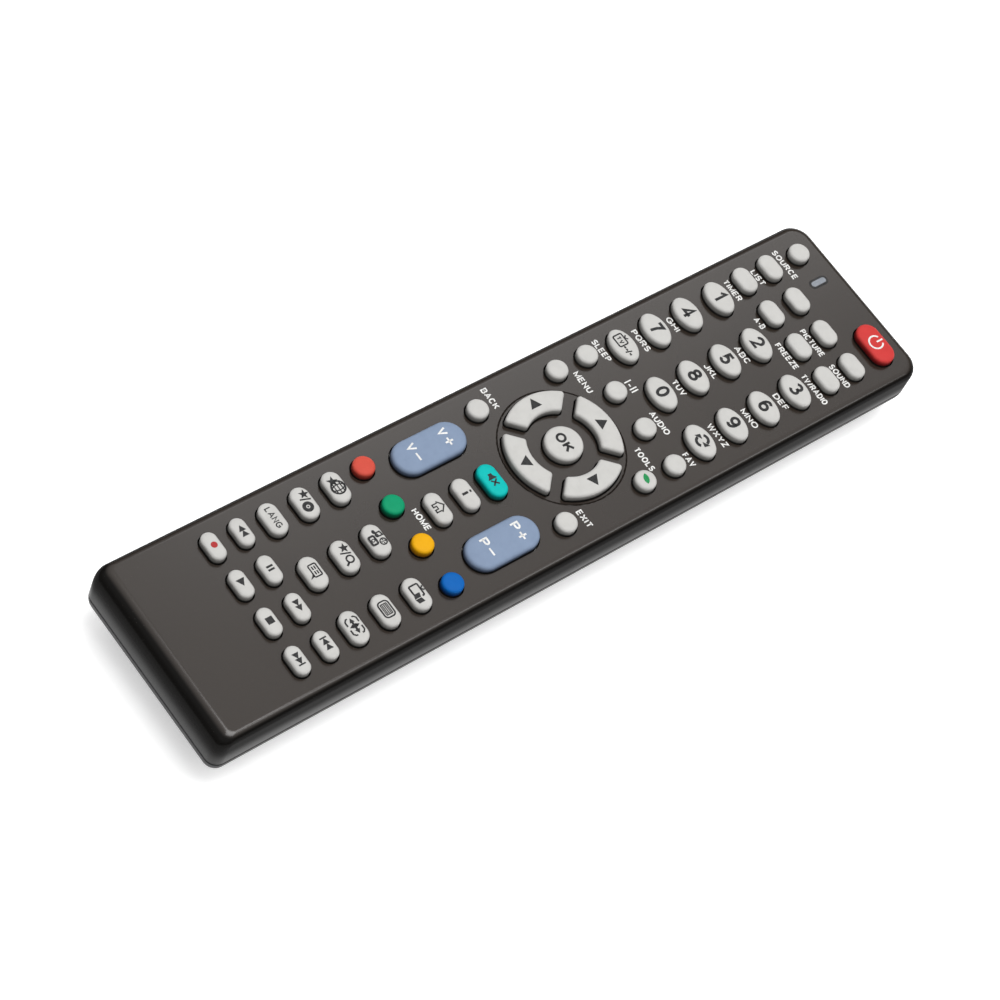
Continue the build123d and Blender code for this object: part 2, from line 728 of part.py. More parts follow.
# Lamp on the board and its lens in the face
lamp_top_depth = board_top_depth - lamp_thickness
lamp = slab(Rot(0, 0, 90) * Rectangle(lamp_length, lamp_width), lamp_top_depth, board_top_depth)
save_from_face("indicator_lamp", [Pos(-lens_offset, lens_y) * lamp])
lens = slab(lens_shape(0), -lens_proud, lamp_top_depth - lens_lamp_gap)
lens += slab(lens_shape(lens_flange_reach), panel, panel + lens_flange)
save_from_face("indicator_lens", [Pos(-lens_offset, lens_y) * lens])

# Infrared emitter: a round lens with a rim, and two legs that turn up to the board
emitter_tip = head_end - emitter_set_back
barrel_length = emitter_length - emitter_radius
emitter_back = emitter_tip - emitter_length
emitter = Pos(0, emitter_back, emitter_z) * Rot(-90, 0, 0) * (
    Cylinder(emitter_radius, barrel_length, align=(Align.CENTER, Align.CENTER, Align.MIN))
    + Pos(0, 0, barrel_length) * Sphere(emitter_radius)
    + Cylinder(emitter_radius + emitter_rim, emitter_rim_length,
               align=(Align.CENTER, Align.CENTER, Align.MIN)))
for side in (-1, 1):
    leg_x = side * emitter_leg_gap / 2
    run = Pos(leg_x, emitter_back, emitter_z) * Box(
        emitter_leg_width, emitter_leg_length, emitter_leg_width,
        align=(Align.CENTER, Align.MAX, Align.CENTER))
    riser_y = emitter_back - emitter_leg_length + emitter_leg_width / 2
    riser = Pos(leg_x, riser_y, emitter_z) * extrude(Rectangle(emitter_leg_width, emitter_leg_width), deep)
    emitter = emitter + run + below(riser, board_underside)
save("infrared_emitter", [emitter])

# Keys
for name, shapes in solids_of_key.items():
    save_from_face(name, shapes)

print("case", round(case_length, 2), round(case_width, 2),
      "thickness", round(thickness_tail, 2), round(thickness_head, 2))
print("wedge in degrees", round(degrees(wedge), 4), "centring", round(centring, 4))
print("door hinge y z", round(door_hinge_y, 4), door_recess)
rocker_pivot = finish * Pos(rocker_x, rocker_y, -rocker_pivot_depth)
print("rocker pivot", rocker_pivot.position)
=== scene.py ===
import json
from collections import namedtuple
from math import pi, radians

import bmesh
import bpy
import numpy as np
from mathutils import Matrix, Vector


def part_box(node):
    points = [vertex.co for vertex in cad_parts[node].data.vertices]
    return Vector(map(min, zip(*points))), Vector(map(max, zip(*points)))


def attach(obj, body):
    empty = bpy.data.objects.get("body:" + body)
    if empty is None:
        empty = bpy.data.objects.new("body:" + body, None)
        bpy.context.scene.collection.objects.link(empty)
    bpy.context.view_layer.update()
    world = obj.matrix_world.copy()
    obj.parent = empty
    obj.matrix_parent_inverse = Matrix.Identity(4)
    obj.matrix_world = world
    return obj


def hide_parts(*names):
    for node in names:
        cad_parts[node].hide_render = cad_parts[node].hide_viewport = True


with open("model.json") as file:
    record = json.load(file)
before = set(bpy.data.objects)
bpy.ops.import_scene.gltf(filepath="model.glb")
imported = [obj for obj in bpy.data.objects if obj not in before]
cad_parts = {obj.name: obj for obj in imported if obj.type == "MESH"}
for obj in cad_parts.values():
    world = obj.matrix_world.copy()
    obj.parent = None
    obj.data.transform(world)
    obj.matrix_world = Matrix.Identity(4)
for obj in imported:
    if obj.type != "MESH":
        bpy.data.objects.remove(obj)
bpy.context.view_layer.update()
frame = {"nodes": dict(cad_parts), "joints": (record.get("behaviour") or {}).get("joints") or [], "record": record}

# Sizes, in metres. Places, lengths and widths of the keys are measured on the CAD nodes.
mm = 0.001
key_edge_round = 0.75 * mm
key_crown = 0.11 * mm
key_gap = 0.35 * mm
flange_reach = 0.55 * mm
flange_top = 2.1 * mm
flange_bottom = 2.8 * mm
leg_radius = 1.6 * mm
leg_root = 0.1 * mm
pill_radius = 1.2 * mm
pill_thickness = 0.25 * mm
rocker_crown = 0.3 * mm
rocker_edge_round = 1.1 * mm
rocker_bottom = 2.6 * mm
rocker_wing_length = 4.0 * mm
rocker_wing_top = 2.3 * mm
rocker_wing_thickness = 0.3 * mm
rocker_leg_offset = 6.3 * mm
pad_outer_radius = 14.1 * mm
pad_inner_radius = 8.7 * mm
pad_split = 3.1 * mm
pad_corner_radius = 0.8 * mm
print_rise = 0.02 * mm
door_arrow_size = 6.0 * mm
door_arrow_from_head = 24.0 * mm
door_arrow_rise = 0.2 * mm
cell_button_height = 0.8 * mm
cell_collar_height = 1.1 * mm
cell_light_length = 9.0 * mm
cell_sign_from_collar = 4.5 * mm
spring_wire_radius = 0.25 * mm
spring_turns = 5
lens_half_straight = 1.45 * mm
# Where the painted shade along the window's rim starts and ends
lens_shade_start = 0.60 * mm
lens_shade_end = 0.78 * mm
cap_rings = 9
bar_steps = 9
lathe_steps = 64
spring_steps = 260
wire_sides = 10
track_pitch = 2.54 * mm
merge_distance = 0.002 * mm
crease = radians(32)

# The slot, the body and the finish of each CAD node. Some slots share a finish.
slot_of = {part["node"]: part["material_slot"] for part in frame["record"]["subparts"]}
body_of = {node: body for body, nodes in frame["record"]["behaviour"]["bodies"].items()
           for node in nodes}
shared = {"door_matte": "shell_matte", "resonator_can": "contact_plate",
          "spring_wire": "contact_plate", "transistor_epoxy": "chip_epoxy",
          "resistor_ceramic": "chip_epoxy"}
finish_of = {node: shared.get(slot, slot) for node, slot in slot_of.items()}
finish_of["power_key"] = "power_red_silicone"

# The frame of the face: across, along towards the head, and out of the face
press_axis = next(joint["axis"] for joint in frame["joints"] if joint["name"] == "ok_key_press")
outwards = -np.array(press_axis) / np.linalg.norm(press_axis)
face_axes = np.array(((1, 0, 0), (0, outwards[2], -outwards[1]), outwards))


def read(items, name, width=1, kind=float):
    """A property of all the items of a mesh, such as the places of its corners."""
    values = np.zeros(len(items) * width, kind)
    items.foreach_get(name, values)
    return values if width == 1 else values.reshape(-1, width)


def corners(node):
    """The corners of a CAD node's triangles, in the row frame."""
    return read(frame["nodes"][node].data.vertices, "co", 3)


face_height = (corners("top_cover") @ face_axes.T)[:, 2].max()


def to_face(points):
    """Points of the row frame, in the frame of the face: heights count from the face."""
    return points @ face_axes.T - (0, 0, face_height)


def from_face(points):
    """Points given across, along and above the face, in the row frame."""
    return (np.asarray(points, float) + (0, 0, face_height)) @ face_axes


def solids_of(node):
    """A CAD node's separate solids, from left to right, as corners in the row frame.

    Corners at one place are one. Each takes the lowest number found on its triangles, again and
    again, until nothing changes: a solid's corners then share one number.
    """
    places, same = np.unique(np.round(corners(node), 7), axis=0, return_inverse=True)
    vertex = read(frame["nodes"][node].data.loops, "vertex_index", kind=int)
    triangles = same.reshape(-1)[vertex].reshape(-1, 3)
    number = np.arange(len(places))
    while True:
        lowest = number.copy()
        np.minimum.at(lowest, triangles, number[triangles].min(1)[:, None])
        if (lowest == number).all():
            break
        number = lowest
    solids = [places[number == one] for one in np.unique(number)]
    return sorted(solids, key=lambda solid: solid[:, 0].min())


# Meshes: a part is points, faces, and the number of its finish
Part = namedtuple("Part", "points faces paint")
dressed = set()


def at_height(flat, height):
    """Points of a plane, set at a height."""
    return np.column_stack([flat, np.full(len(flat), height)])


def circle(turns):
    """Points of a circle of radius 1, at these angles."""
    return np.column_stack([np.cos(turns), np.sin(turns)])


def turned(points, turn):
    """Points of a plane, turned about the origin."""
    return points @ np.array(((np.cos(turn), np.sin(turn)), (-np.sin(turn), np.cos(turn))))


def rounded(width, height, radius, count):
    """A rectangle with round corners: the middles of its corners, and its normals."""
    normal = circle((np.arange(count) + 0.5) * 2 * pi / count)
    return np.sign(normal) * (width / 2 - radius, height / 2 - radius), normal


def skin(rings, paint=0, looped=False):
    """Faces through closed rings of points: point j of ring i joins j + 1 and the same on ring i + 1.

    rings has the shape (rings, points, 3). With looped, the last ring joins the first again.
    """
    rings = np.asarray(rings, float)
    index = np.arange(rings.shape[0] * rings.shape[1]).reshape(rings.shape[:2])
    if looped:
        index = np.vstack([index, index[:1]])
    beside = np.roll(index, -1, axis=1)
    quads = np.stack([index[:-1], index[1:], beside[1:], beside[:-1]], axis=-1).reshape(-1, 4)
    return Part(rings.reshape(-1, 3), quads.tolist(), paint)


def plate(outline, low, high):
    """A closed plate: an outline in the plane, made solid between two heights."""
    count = len(outline)
    first = np.arange(count)
    after = np.roll(first, -1)
    sides = np.stack([first, first + count, after + count, after], axis=1).tolist()
    return Part(np.vstack([at_height(outline, high), at_height(outline, low)]),
                [first.tolist(), (first + count)[::-1].tolist()] + sides, 0)


def placed(part, x, y, height=0.0, scale=1.0):
    """A part given in the frame of the face, carried to a place there, in the row frame."""
    return Part(from_face(part.points * scale + (x, y, height)), part.faces, part.paint)


def build(name, parts, node, finish_names, replaces=()):
    """One piece made of parts in the row frame, on the body of a CAD node."""
    starts = np.cumsum([0] + [len(part.points) for part in parts])
    faces = [[corner + start for corner in face]
             for part, start in zip(parts, starts) for face in part.faces]
    mesh = bpy.data.meshes.new(name)
    mesh.from_pydata(np.concatenate([part.points for part in parts]).tolist(), [], faces)
    paint = np.concatenate([np.full(len(part.faces), part.paint) for part in parts])
    mesh.polygons.foreach_set("material_index", paint.astype(np.int32))
    finish_mesh(name, mesh, node, finish_names, replaces)


def in_scene(name, data):
    """A new object of this data, in the scene."""
    made = bpy.data.objects.new(name, data)
    bpy.context.scene.collection.objects.link(made)
    return made


def finish_mesh(name, mesh, node, finish_names, replaces=()):
    """Merges doubles, turns the faces outwards, shades them smoothly up to the crease angle, and
    puts the mesh in the scene."""
    work = bmesh.new()
    work.from_mesh(mesh)
    bmesh.ops.remove_doubles(work, verts=work.verts, dist=merge_distance)
    bmesh.ops.recalc_face_normals(work, faces=work.faces)
    work.to_mesh(mesh)
    work.free()
    mesh.shade_smooth()
    mesh.set_sharp_from_angle(angle=crease)
    for finish_name in finish_names:
        mesh.materials.append(finishes[finish_name])
    piece = in_scene(name, mesh)
    body, slot = body_of[node], slot_of[node]
    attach(piece, body)
    if replaces:
        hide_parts(*replaces)
        dressed.update(replaces)


# Shader maths
def operator(operation, swapped=False):
    """A field's operator: a Math node on it and another field or number."""

    def method(self, other=0.0):
        first, second = (other, self) if swapped else (self, other)
        return self.node("Math", {"operation": operation}, _0=first, _1=second)
    return method


class Field:
    """A number, colour or vector that varies over a surface: sums on it add Math nodes."""

    def __init__(self, tree, socket):
        self.tree = tree
        self.socket = socket

    def node(self, kind, settings=None, outlet=0, **sockets):
        """Adds a node. Its settings come first, then its sockets: by name, or _3 for the fourth."""
        made = self.tree.nodes.new("ShaderNode" + kind)
        for name, value in (settings or {}).items():
            setattr(made, name, value)
        for name, value in sockets.items():
            target = made.inputs[int(name[1:]) if name[0] == "_" else name.replace("_", " ")]
            if isinstance(value, Field):
                self.tree.links.new(value.socket, target)
            else:
                target.default_value = value
        return Field(self.tree, made.outputs[outlet])

    __add__ = __radd__ = operator("ADD")
    __sub__ = operator("SUBTRACT")
    __rsub__ = operator("SUBTRACT", swapped=True)
    __mul__ = __rmul__ = operator("MULTIPLY")
    __truediv__ = operator("DIVIDE")
    __pow__ = operator("POWER")
    __abs__ = operator("ABSOLUTE")
    fraction = operator("FRACT")

    def noise(self, size, detail=2.0, rough=0.5):
        """Noise from 0 to 1 on this place; its blobs are about this size."""
        return self.node("TexNoise", Vector=self, Scale=1 / size, Detail=detail, Roughness=rough)

    def specks(self, size):
        """Distance to the nearest of random points about this far apart, from 0 to about 1."""
        return self.node("TexVoronoi", Vector=self, Scale=1 / size)

    def step(self, low, high):
        """0 below low, 1 above high, and smooth between them."""
        return self.node("MapRange", {"interpolation_type": "SMOOTHSTEP"}, Value=self,
                         From_Min=low, From_Max=high)

    def blend(self, first, second):
        """A colour that goes from first to second as this number goes from 0 to 1."""
        return self.node("Mix", {"data_type": "RGBA"}, outlet=2, _0=self, _6=first, _7=second)

    def part(self, axis):
        """One coordinate of this place: 0, 1 or 2."""
        return self.node("SeparateXYZ", outlet=axis, Vector=self)

    def dot(self, direction):
        return self.node("VectorMath", {"operation": "DOT_PRODUCT"}, outlet=1, _0=self,
                         _1=tuple(direction))

    def bump(self, depth):
        """Normals of a surface that this height, from 0 to 1, raises by up to depth."""
        return self.node("Bump", Height=self, Distance=depth, Strength=1.0)


finishes = {}


def finish(name, make, **constants):
    """Adds a material to the finishes: make(place) gives the sockets that vary, and the constants
    are set on its shader."""
    material = bpy.data.materials.new(name)
    material.use_nodes = True
    tree = material.node_tree
    shader = tree.nodes["Principled BSDF"]
    place = Field(tree, tree.nodes.new("ShaderNodeTexCoord").outputs["Object"])
    for socket, value in constants.items():
        shader.inputs[socket.replace("_", " ")].default_value = value
    for socket, field in make(place).items():
        tree.links.new(field.socket, shader.inputs[socket.replace("_", " ")])
    finishes[name] = material


def gray(value):
    return (value, value, value, 1.0)


def rgb(red, green, blue):
    """A shader's colour from the 0 to 255 values that a screen shows."""
    shown = np.array((red, green, blue)) / 255
    linear = np.where(shown <= 0.04045, shown / 12.92, ((shown + 0.055) / 1.055) ** 2.4)
    return (*linear.tolist(), 1.0)


# Finishes of the case
def cover_gloss(place):
    """Warm black plastic, moulded smooth: faint flow marks, orange peel and fine dust.

    The face's base colour is a lighter grey-brown, a painted sheen that thins out over the edge; the walls' base
    colour is near black, painted shade. The walls' coat is dull at first and glossier down to the joint.
    """
    flow = place.noise(24 * mm, 3.0)
    peel = place.noise(0.9 * mm, 2.0)
    dust = 1 - place.specks(0.7 * mm).step(0.02, 0.09)
    dusty = dust * place.noise(7 * mm).step(0.45, 0.7)
    height = place.dot(outwards) - float(face_height)
    face = height.step(-0.62 * mm, -0.02 * mm)
    above_joint = 1 - height.step(-9 * mm, -4 * mm)
    gloss = 0.14 + 0.86 * face + 0.5 * above_joint
    # Painted light: the face takes a lighter base colour as a painted sheen, the walls a near-black one as painted
    # shade; flow marks vary the face's tone.
    flow_marks_and_face_sheen = flow.blend(rgb(36, 29, 24), rgb(43, 36, 30))
    plain = face.blend(rgb(17, 16, 15), flow_marks_and_face_sheen)
    return {"Base_Color": (dusty * 0.25).blend(plain, rgb(150, 146, 140)),
            "Roughness": 0.30 + 0.06 * place.noise(5 * mm, 4.0) + 0.2 * dusty,
            "Coat_Weight": gloss,
            "Normal": (peel + 0.3 * place.noise(0.16 * mm)).bump(0.004 * mm)}


def shell_matte(place):
    """Black plastic with the fine even grain of a spark-eroded mould."""
    grain = place.noise(0.28 * mm, 3.0, 0.6)
    wear = place.noise(11 * mm, 5.0, 0.6)
    return {"Base_Color": wear.blend(rgb(30, 30, 31), rgb(41, 41, 43)),
            "Roughness": 0.36 + 0.14 * wear + 0.08 * grain,
            "Normal": grain.bump(0.02 * mm)}


# Finishes of the keys
# Painted shadow: the near-black colour at the foot of each key, where the gap round it lies in shade.
painted_gap_shade = rgb(24, 23, 22)


def silicone(light, deep_tone_and_shade):
    """Moulded silicone rubber of one colour: fine grain, tiny specks, painted shade low on the sides and a
    near-black painted shadow at the foot.
    """

    def make(place):
        height = place.dot(outwards) - float(face_height)
        cloud = place.noise(2.4 * mm, 4.0, 0.6)
        grain = place.noise(0.12 * mm, 2.0)
        speck = 1 - place.specks(0.55 * mm).step(0.03, 0.12)
        # Painted shade: the sides darken towards the bottom and turn near black at the foot; worn mixes random
        # tone and specks with this painted shade.
        low = 1 - height.step(0.4 * mm, 1.95 * mm)
        foot = 1 - height.step(-0.1 * mm, 0.6 * mm)
        worn = (cloud * 0.45 + low * 0.7 + speck * 0.3).step(0.1, 1.1)
        return {"Base_Color": foot.blend(worn.blend(light, deep_tone_and_shade), painted_gap_shade),
                "Roughness": 0.50 + 0.14 * cloud + 0.06 * grain,
                "Normal": (grain + 0.7 * cloud).bump(0.012 * mm)}
    return make


def ink(colour, worn):
    """Screen-printed ink: slightly uneven, with pinholes."""

    def make(place):
        cover = place.noise(0.5 * mm, 3.0, 0.6)
        return {"Base_Color": cover.step(0.25, 0.75).blend(worn, colour),
                "Roughness": 0.42 + 0.2 * cover,
                "Normal": place.noise(0.2 * mm).bump(0.004 * mm)}
    return make


def clouded(dark, light, size, rough, spread, depth, detail=3.0, ragged=0.5, grain=None):
    """A plain finish: one noise of this size blends two colours, roughens and raises the surface.

    With grain, a finer noise of that size raises it instead.
    """

    def make(place):
        cloud = place.noise(size, detail, ragged)
        relief = place.noise(grain) if grain else cloud
        return {"Base_Color": cloud.blend(dark, light), "Roughness": rough + spread * cloud,
                "Normal": relief.bump(depth)}
    return make


def board(place):
    """Paper laminate under a green mask, with copper tracks that show through it."""
    fibre = place.noise(0.4 * mm, 5.0, 0.7)
    track = 1 - abs((place.part(0) / track_pitch).fraction() - 0.5).step(0.10, 0.16)
    broken = track * place.noise(9 * mm).step(0.45, 0.5)
    return {"Base_Color": broken.blend(rgb(28, 74, 46), rgb(52, 112, 70)),
            "Roughness": 0.32 + 0.15 * fibre, "Normal": (broken + 0.2 * fibre).bump(0.02 * mm)}


def plated_steel(place):
    """Nickel plate on rolled steel: fine lines along the strip and dull patches."""
    lines = place.node("VectorMath", {"operation": "MULTIPLY"}, _0=place, _1=(1, 12, 1))
    brushed = lines.noise(0.5 * mm, 3.0)
    patch = place.noise(2.5 * mm, 4.0)
    return {"Base_Color": patch.blend(rgb(176, 174, 168), rgb(206, 204, 197)),
            "Roughness": 0.22 + 0.12 * brushed + 0.1 * patch, "Normal": brushed.bump(0.006 * mm)}


def printed_sleeve(dark, light):
    """A cell's printed plastic sleeve: satin, with faint scuffs."""

    def make(place):
        cloud = place.noise(3 * mm, 4.0)
        scuff = place.noise(0.4 * mm, 3.0, 0.7)
        return {"Base_Color": cloud.blend(dark, light), "Roughness": 0.25 + 0.2 * scuff,
                "Normal": scuff.bump(0.004 * mm)}
    return make


def window_lens(place):
    """A small translucent window: pale blue grey, lightly frosted, and darkened along its rim with a painted
    shadow of the recess it sits in.

    The painted shade of the rim is told by the distance to the straight line between the middles of its round
    ends.
    """
    cloud = place.noise(0.7 * mm, 3.0)
    # Painted shade: near black along the rim, as the shadow of the window's recess.
    across = place.part(0) - lens_middle[0]
    past_end = abs(place.part(1) - lens_middle[1]) - lens_half_straight
    along = (past_end + abs(past_end)) * 0.5
    rim = ((across * across + along * along) ** 0.5).step(lens_shade_start, lens_shade_end)
    clear = cloud.blend(rgb(92, 98, 106), rgb(136, 143, 152))
    return {"Base_Color": rim.blend(clear, rgb(20, 21, 24)),
            "Roughness": 0.18 + 0.14 * cloud, "Normal": place.noise(0.1 * mm).bump(0.004 * mm)}


lens_middle = np.mean(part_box("indicator_lens"), axis=0).tolist()
finish("cover_gloss", cover_gloss, Specular_IOR_Level=0.0, Coat_Roughness=0.18)
finish("shell_matte", shell_matte, Specular_IOR_Level=0.25)
finish("lens_smoke", window_lens, Coat_Weight=0.6, Coat_Roughness=0.06)
finish("board_laminate", board)
finish("contact_plate", plated_steel, Metallic=1.0)
finish("cell_sleeve", printed_sleeve(rgb(44, 52, 66), rgb(58, 66, 82)))
finish("cell_band", printed_sleeve(rgb(196, 199, 203), rgb(214, 216, 219)))
finish("cell_ring", printed_sleeve(rgb(226, 224, 216), rgb(236, 234, 228)))

# Carbon-filled rubber and printed carbon, the sheet of light rubber, and black epoxy
finish("carbon_pads", clouded(gray(0.012), gray(0.03), 0.15 * mm, 0.6, 0.2, 0.01 * mm))
finish("silicone_sheet", clouded(rgb(196, 195, 190), rgb(214, 213, 208), 6 * mm, 0.55, 0.1,
                                 0.01 * mm, grain=0.2 * mm))
finish("chip_epoxy", clouded(gray(0.012), gray(0.026), 0.18 * mm, 0.45, 0.2, 0.01 * mm, ragged=0.6))

# A capacitor's dark blue sleeve, a milky lamp, and the dark resin that infrared light passes
finish("capacitor_sleeve", clouded(rgb(22, 32, 66), rgb(34, 46, 84), 1.6 * mm, 0.22, 0.1, 0.02 * mm))
finish("lamp_clear", clouded(rgb(226, 214, 160), rgb(238, 236, 224), 0.8 * mm, 0.15, 0.1, 0.01 * mm))
finish("emitter_lens", clouded(rgb(20, 16, 30), rgb(34, 26, 50), 1.1 * mm, 0.08, 0.08, 0.006 * mm,
                               detail=2.0), Coat_Weight=1.0, Coat_Roughness=0.03)
finish("white_ink", ink(rgb(232, 232, 230), rgb(196, 196, 194)))
for name, colour, worn in (("dark_ink", (30, 30, 32), (52, 52, 52)),
                           ("red_ink", (170, 30, 36), (150, 52, 50)),
                           ("green_ink", (10, 122, 62), (44, 140, 86))):
    finish(name, ink(rgb(*colour), rgb(*worn)), Specular_IOR_Level=0.2)
# Each silicone: its own colour, and a darker tone for random clouds and specks that also paints the shade low on
# the sides.
for name, light, deep_tone_and_shade in (("grey_silicone", (188, 187, 184), (120, 119, 116)),
                          ("rocker_blue_grey", (124, 140, 164), (74, 86, 108)),
                          ("red_silicone", (196, 76, 62), (122, 34, 26)),
                          ("power_red_silicone", (192, 56, 54), (110, 14, 16)),
                          ("green_silicone", (4, 142, 98), (2, 78, 54)),
                          ("yellow_silicone", (219, 160, 6), (152, 98, 4)),
                          ("blue_silicone", (2, 91, 168), (2, 44, 96)),
                          ("teal_silicone", (0, 176, 171), (0, 96, 94))):
    finish(name, silicone(rgb(*light), rgb(*deep_tone_and_shade)), Specular_IOR_Level=0.15)

# Outlines of the keys: grown all round by g, an outline is core + (radius + g) * normal
Outline = namedtuple("Outline", "core normal radius spine")
outline_count = 72


def slot_outline(size_x, size_y):
    """A slot: a circle of half the smaller size, whose quarters stand apart by the rest."""
    radius = min(size_x, size_y) / 2
    core, normal = rounded(size_x, size_y, radius, outline_count)
    return Outline(core, normal, radius, core)


def oval_outline(size_x, size_y):
    """An ellipse: its half sizes times the cosine and sine of the turn."""
    normal = rounded(size_x, size_y, 0, outline_count)[1]
    spine = normal * ((size_x - size_y) / 2, 0)
    return Outline(normal * (size_x / 2, size_y / 2), normal, 0.0, spine)


def arc_outline(turn):
    """A quarter of a ring between two slanting gaps, turned from the head side.

    The core is the quarter drawn in by its corner radius. It runs from the middle of the right side
    out and over the outer arc to the left side's middle, and back under the inner arc, with as many
    points both ways, so that the spine is the middle of each pair.
    """
    outer = pad_outer_radius - pad_corner_radius
    inner = pad_inner_radius + pad_corner_radius
    side = pad_split / 2 + pad_corner_radius
    start_out = pi / 4 + np.arcsin(side / outer)
    start_in = pi / 4 + np.arcsin(side / inner)
    along_arc, along_side, at_corner = 22, 4, 10

    def way(first, last):
        return np.linspace(first, last, along_side)[:, None]

    def both_sides(out, back):
        """The right half's points out and back, with their mirror images between them."""
        return np.vstack([out, (out * (-1, 1))[::-1][1:], (back * (-1, 1))[::-1][1:], back[1:-1]])

    half = (outer * circle([start_out]) + inner * circle([start_in])) / 2
    side_normal = np.repeat(circle([-pi / 4]), along_side, axis=0)
    arc_out = circle(np.linspace(start_out, pi / 2, along_arc))
    arc_in = circle(np.linspace(pi / 2, start_in, along_arc))
    corner_out = circle(np.linspace(-pi / 4, start_out, at_corner))
    corner_in = circle(np.linspace(start_in + pi, 2 * pi - pi / 4, at_corner))
    rim_out = outer * arc_out
    rim_in = inner * arc_in
    core = both_sides(
        np.vstack([half + way(0, 0.8) * (rim_out[0] - half), np.repeat(rim_out[:1], at_corner, axis=0),
                   rim_out[1:]]),
        np.vstack([rim_in[:-1], np.repeat(rim_in[-1:], at_corner, axis=0),
                   rim_in[-1] + way(0.2, 1) * (half - rim_in[-1])]))
    normal = both_sides(np.vstack([side_normal, corner_out, arc_out[1:]]),
                        np.vstack([-arc_in[:-1], corner_in, side_normal]))
    middle = (core + np.roll(core[::-1], 1, axis=0)) / 2
    reach = (start_out + start_in) / 2 + radians(7)
    spine = (outer + inner) / 2 * circle(
        np.clip(np.arctan2(middle[:, 1], middle[:, 0]), reach, pi - reach))
    return Outline(turned(core, turn), turned(normal, turn), pad_corner_radius, turned(spine, turn))


def ring_at(outline, grow, height):
    """The outline grown all round, at a height."""
    return at_height(outline.core + (outline.radius + grow) * outline.normal, height)


def cap(outline, top, crown, edge, foot):
    """A key's cap: a crowned top, a rounded edge, upright walls, and the rings of its foot.

    From the spine to the edge, the top falls by crown times the fourth power of the way. The edge
    is an arc of the radius edge. foot lists the (grow, height) of the rings below the walls. The
    print's thickness comes off the top, so that the print stays within the solid's height.
    """
    lead = radians(8)
    rim = ring_at(outline, -edge * (1 - np.sin(lead)), 0)[:, :2]
    top -= print_rise
    rings = [at_height(outline.spine + (rim - outline.spine) * way, top - crown * way ** 4)
             for way in np.linspace(0, 1, cap_rings)[:-1]]
    for angle in np.linspace(lead, pi / 2, cap_rings):
        rings.append(ring_at(outline, -edge * (1 - np.sin(angle)),
                             top - crown - edge * (np.cos(lead) - np.cos(angle))))
    rings += [ring_at(outline, grow, height) for grow, height in foot]
    rings.append(at_height(outline.spine, foot[-1][1]))
    return skin(rings)


def column(radius, high, low, paint=0):
    """A closed upright cylinder between two heights."""
    disc = slot_outline(2 * radius, 2 * radius)
    levels = ((-radius, high), (0, high), (0, low), (-radius, low))
    return skin([ring_at(disc, grow, height) for grow, height in levels], paint)


def leg(x, y, root, tip):
    """A key's leg with the carbon pill at its end."""
    return [placed(column(leg_radius, root, tip + pill_thickness), x, y),
            placed(column(pill_radius, tip + pill_thickness, tip, paint=1), x, y)]


Cap = namedtuple("Cap", "x y size_x size_y top tip")


def caps_of(node):
    """Middle, size and heights of each cap of a key node, in the frame of the face."""
    solids = [to_face(solid) for solid in solids_of(node)]
    tip = min(solid[:, 2].min() for solid in solids)
    caps = []
    for solid in solids:
        low, high = solid.min(0), solid.max(0)
        if high[2] > 0:
            caps.append(Cap(*((low + high) / 2)[:2], *(high - low)[:2], high[2], tip))
    return caps


flange = 2 * (key_gap + flange_reach)
flange_foot = [(0, -flange_top), (flange / 2, -flange_top), (flange / 2, -flange_bottom)]
digit_names = ("zero", "one", "two", "three", "four", "five", "six", "seven", "eight", "nine")
oval_keys = [f"{name}_key" for name in digit_names + ("channel_digits", "swap")]
arc_turns = {"up_key": 0, "left_key": pi / 2, "down_key": pi, "right_key": 3 * pi / 2}
rockers = ("volume_rocker", "channel_rocker")
key_nodes = [node for node in frame["nodes"] if "key" in node and node != "keypad_sheet"]
keys = {node: caps_of(node) for node in key_nodes + list(rockers)}


def sign_place(node, one):
    """Where a cap's sign and leg are: its middle, or the middle of a quarter of the ring."""
    if node not in arc_turns:
        return one.x, one.y
    centre = keys["ok_key"][0]
    middle = (pad_outer_radius + pad_inner_radius) / 2
    return (centre.x - middle * np.sin(arc_turns[node]), centre.y + middle * np.cos(arc_turns[node]))


def dress_keys():
    """Every push key: its caps, flanges, legs and pills are one piece on the key's own body."""
    for node in key_nodes:
        parts = []
        for one in keys[node]:
            middle = one
            if node in arc_turns:
                outline = arc_outline(arc_turns[node])
                middle = keys["ok_key"][0]
            elif node in oval_keys:
                outline = oval_outline(one.size_x - flange, one.size_y - flange)
            else:
                outline = slot_outline(one.size_x - flange, one.size_y - flange)
            parts.append(placed(cap(outline, one.top, key_crown, key_edge_round, flange_foot),
                                middle.x, middle.y))
            parts += leg(*sign_place(node, one), leg_root - flange_bottom, one.tip)
        build(f"{node}_rubber", parts, node, [finish_of[node], "carbon_pads"], [node])


def dress_rockers():
    """The two rockers: a crowned slot with wings under the cover and a leg under each end."""
    for node in rockers:
        one = keys[node][0]
        outline = slot_outline(one.size_x - flange, one.size_y)
        body = cap(outline, one.top, rocker_crown, rocker_edge_round, [(0, -rocker_bottom)])
        wing = np.array(((1, 1), (-1, 1), (-1, -1), (1, -1))) * (one.size_x / 2, rocker_wing_length / 2)
        wings = plate(wing, -rocker_wing_top - rocker_wing_thickness, -rocker_wing_top)
        parts = [placed(body, one.x, one.y), placed(wings, one.x, one.y)]
        for side in (-1, 1):
            parts += leg(one.x, one.y + side * rocker_leg_offset, leg_root - rocker_bottom, one.tip)
        build(f"{node}_rubber", parts, node, [finish_of[node], "carbon_pads"], [node])


dress_keys()
dress_rockers()

# Signs, drawn in millimetres: lists of strokes. A stroke without a width is a filled outline.
Stroke = namedtuple("Stroke", "points width closed")
same_place = 1e-6
widest_bend = radians(120)


def line(points, width, closed=False):
    return Stroke(np.asarray(points, float), width, closed)


def area(points):
    return Stroke(np.asarray(points, float), None, True)


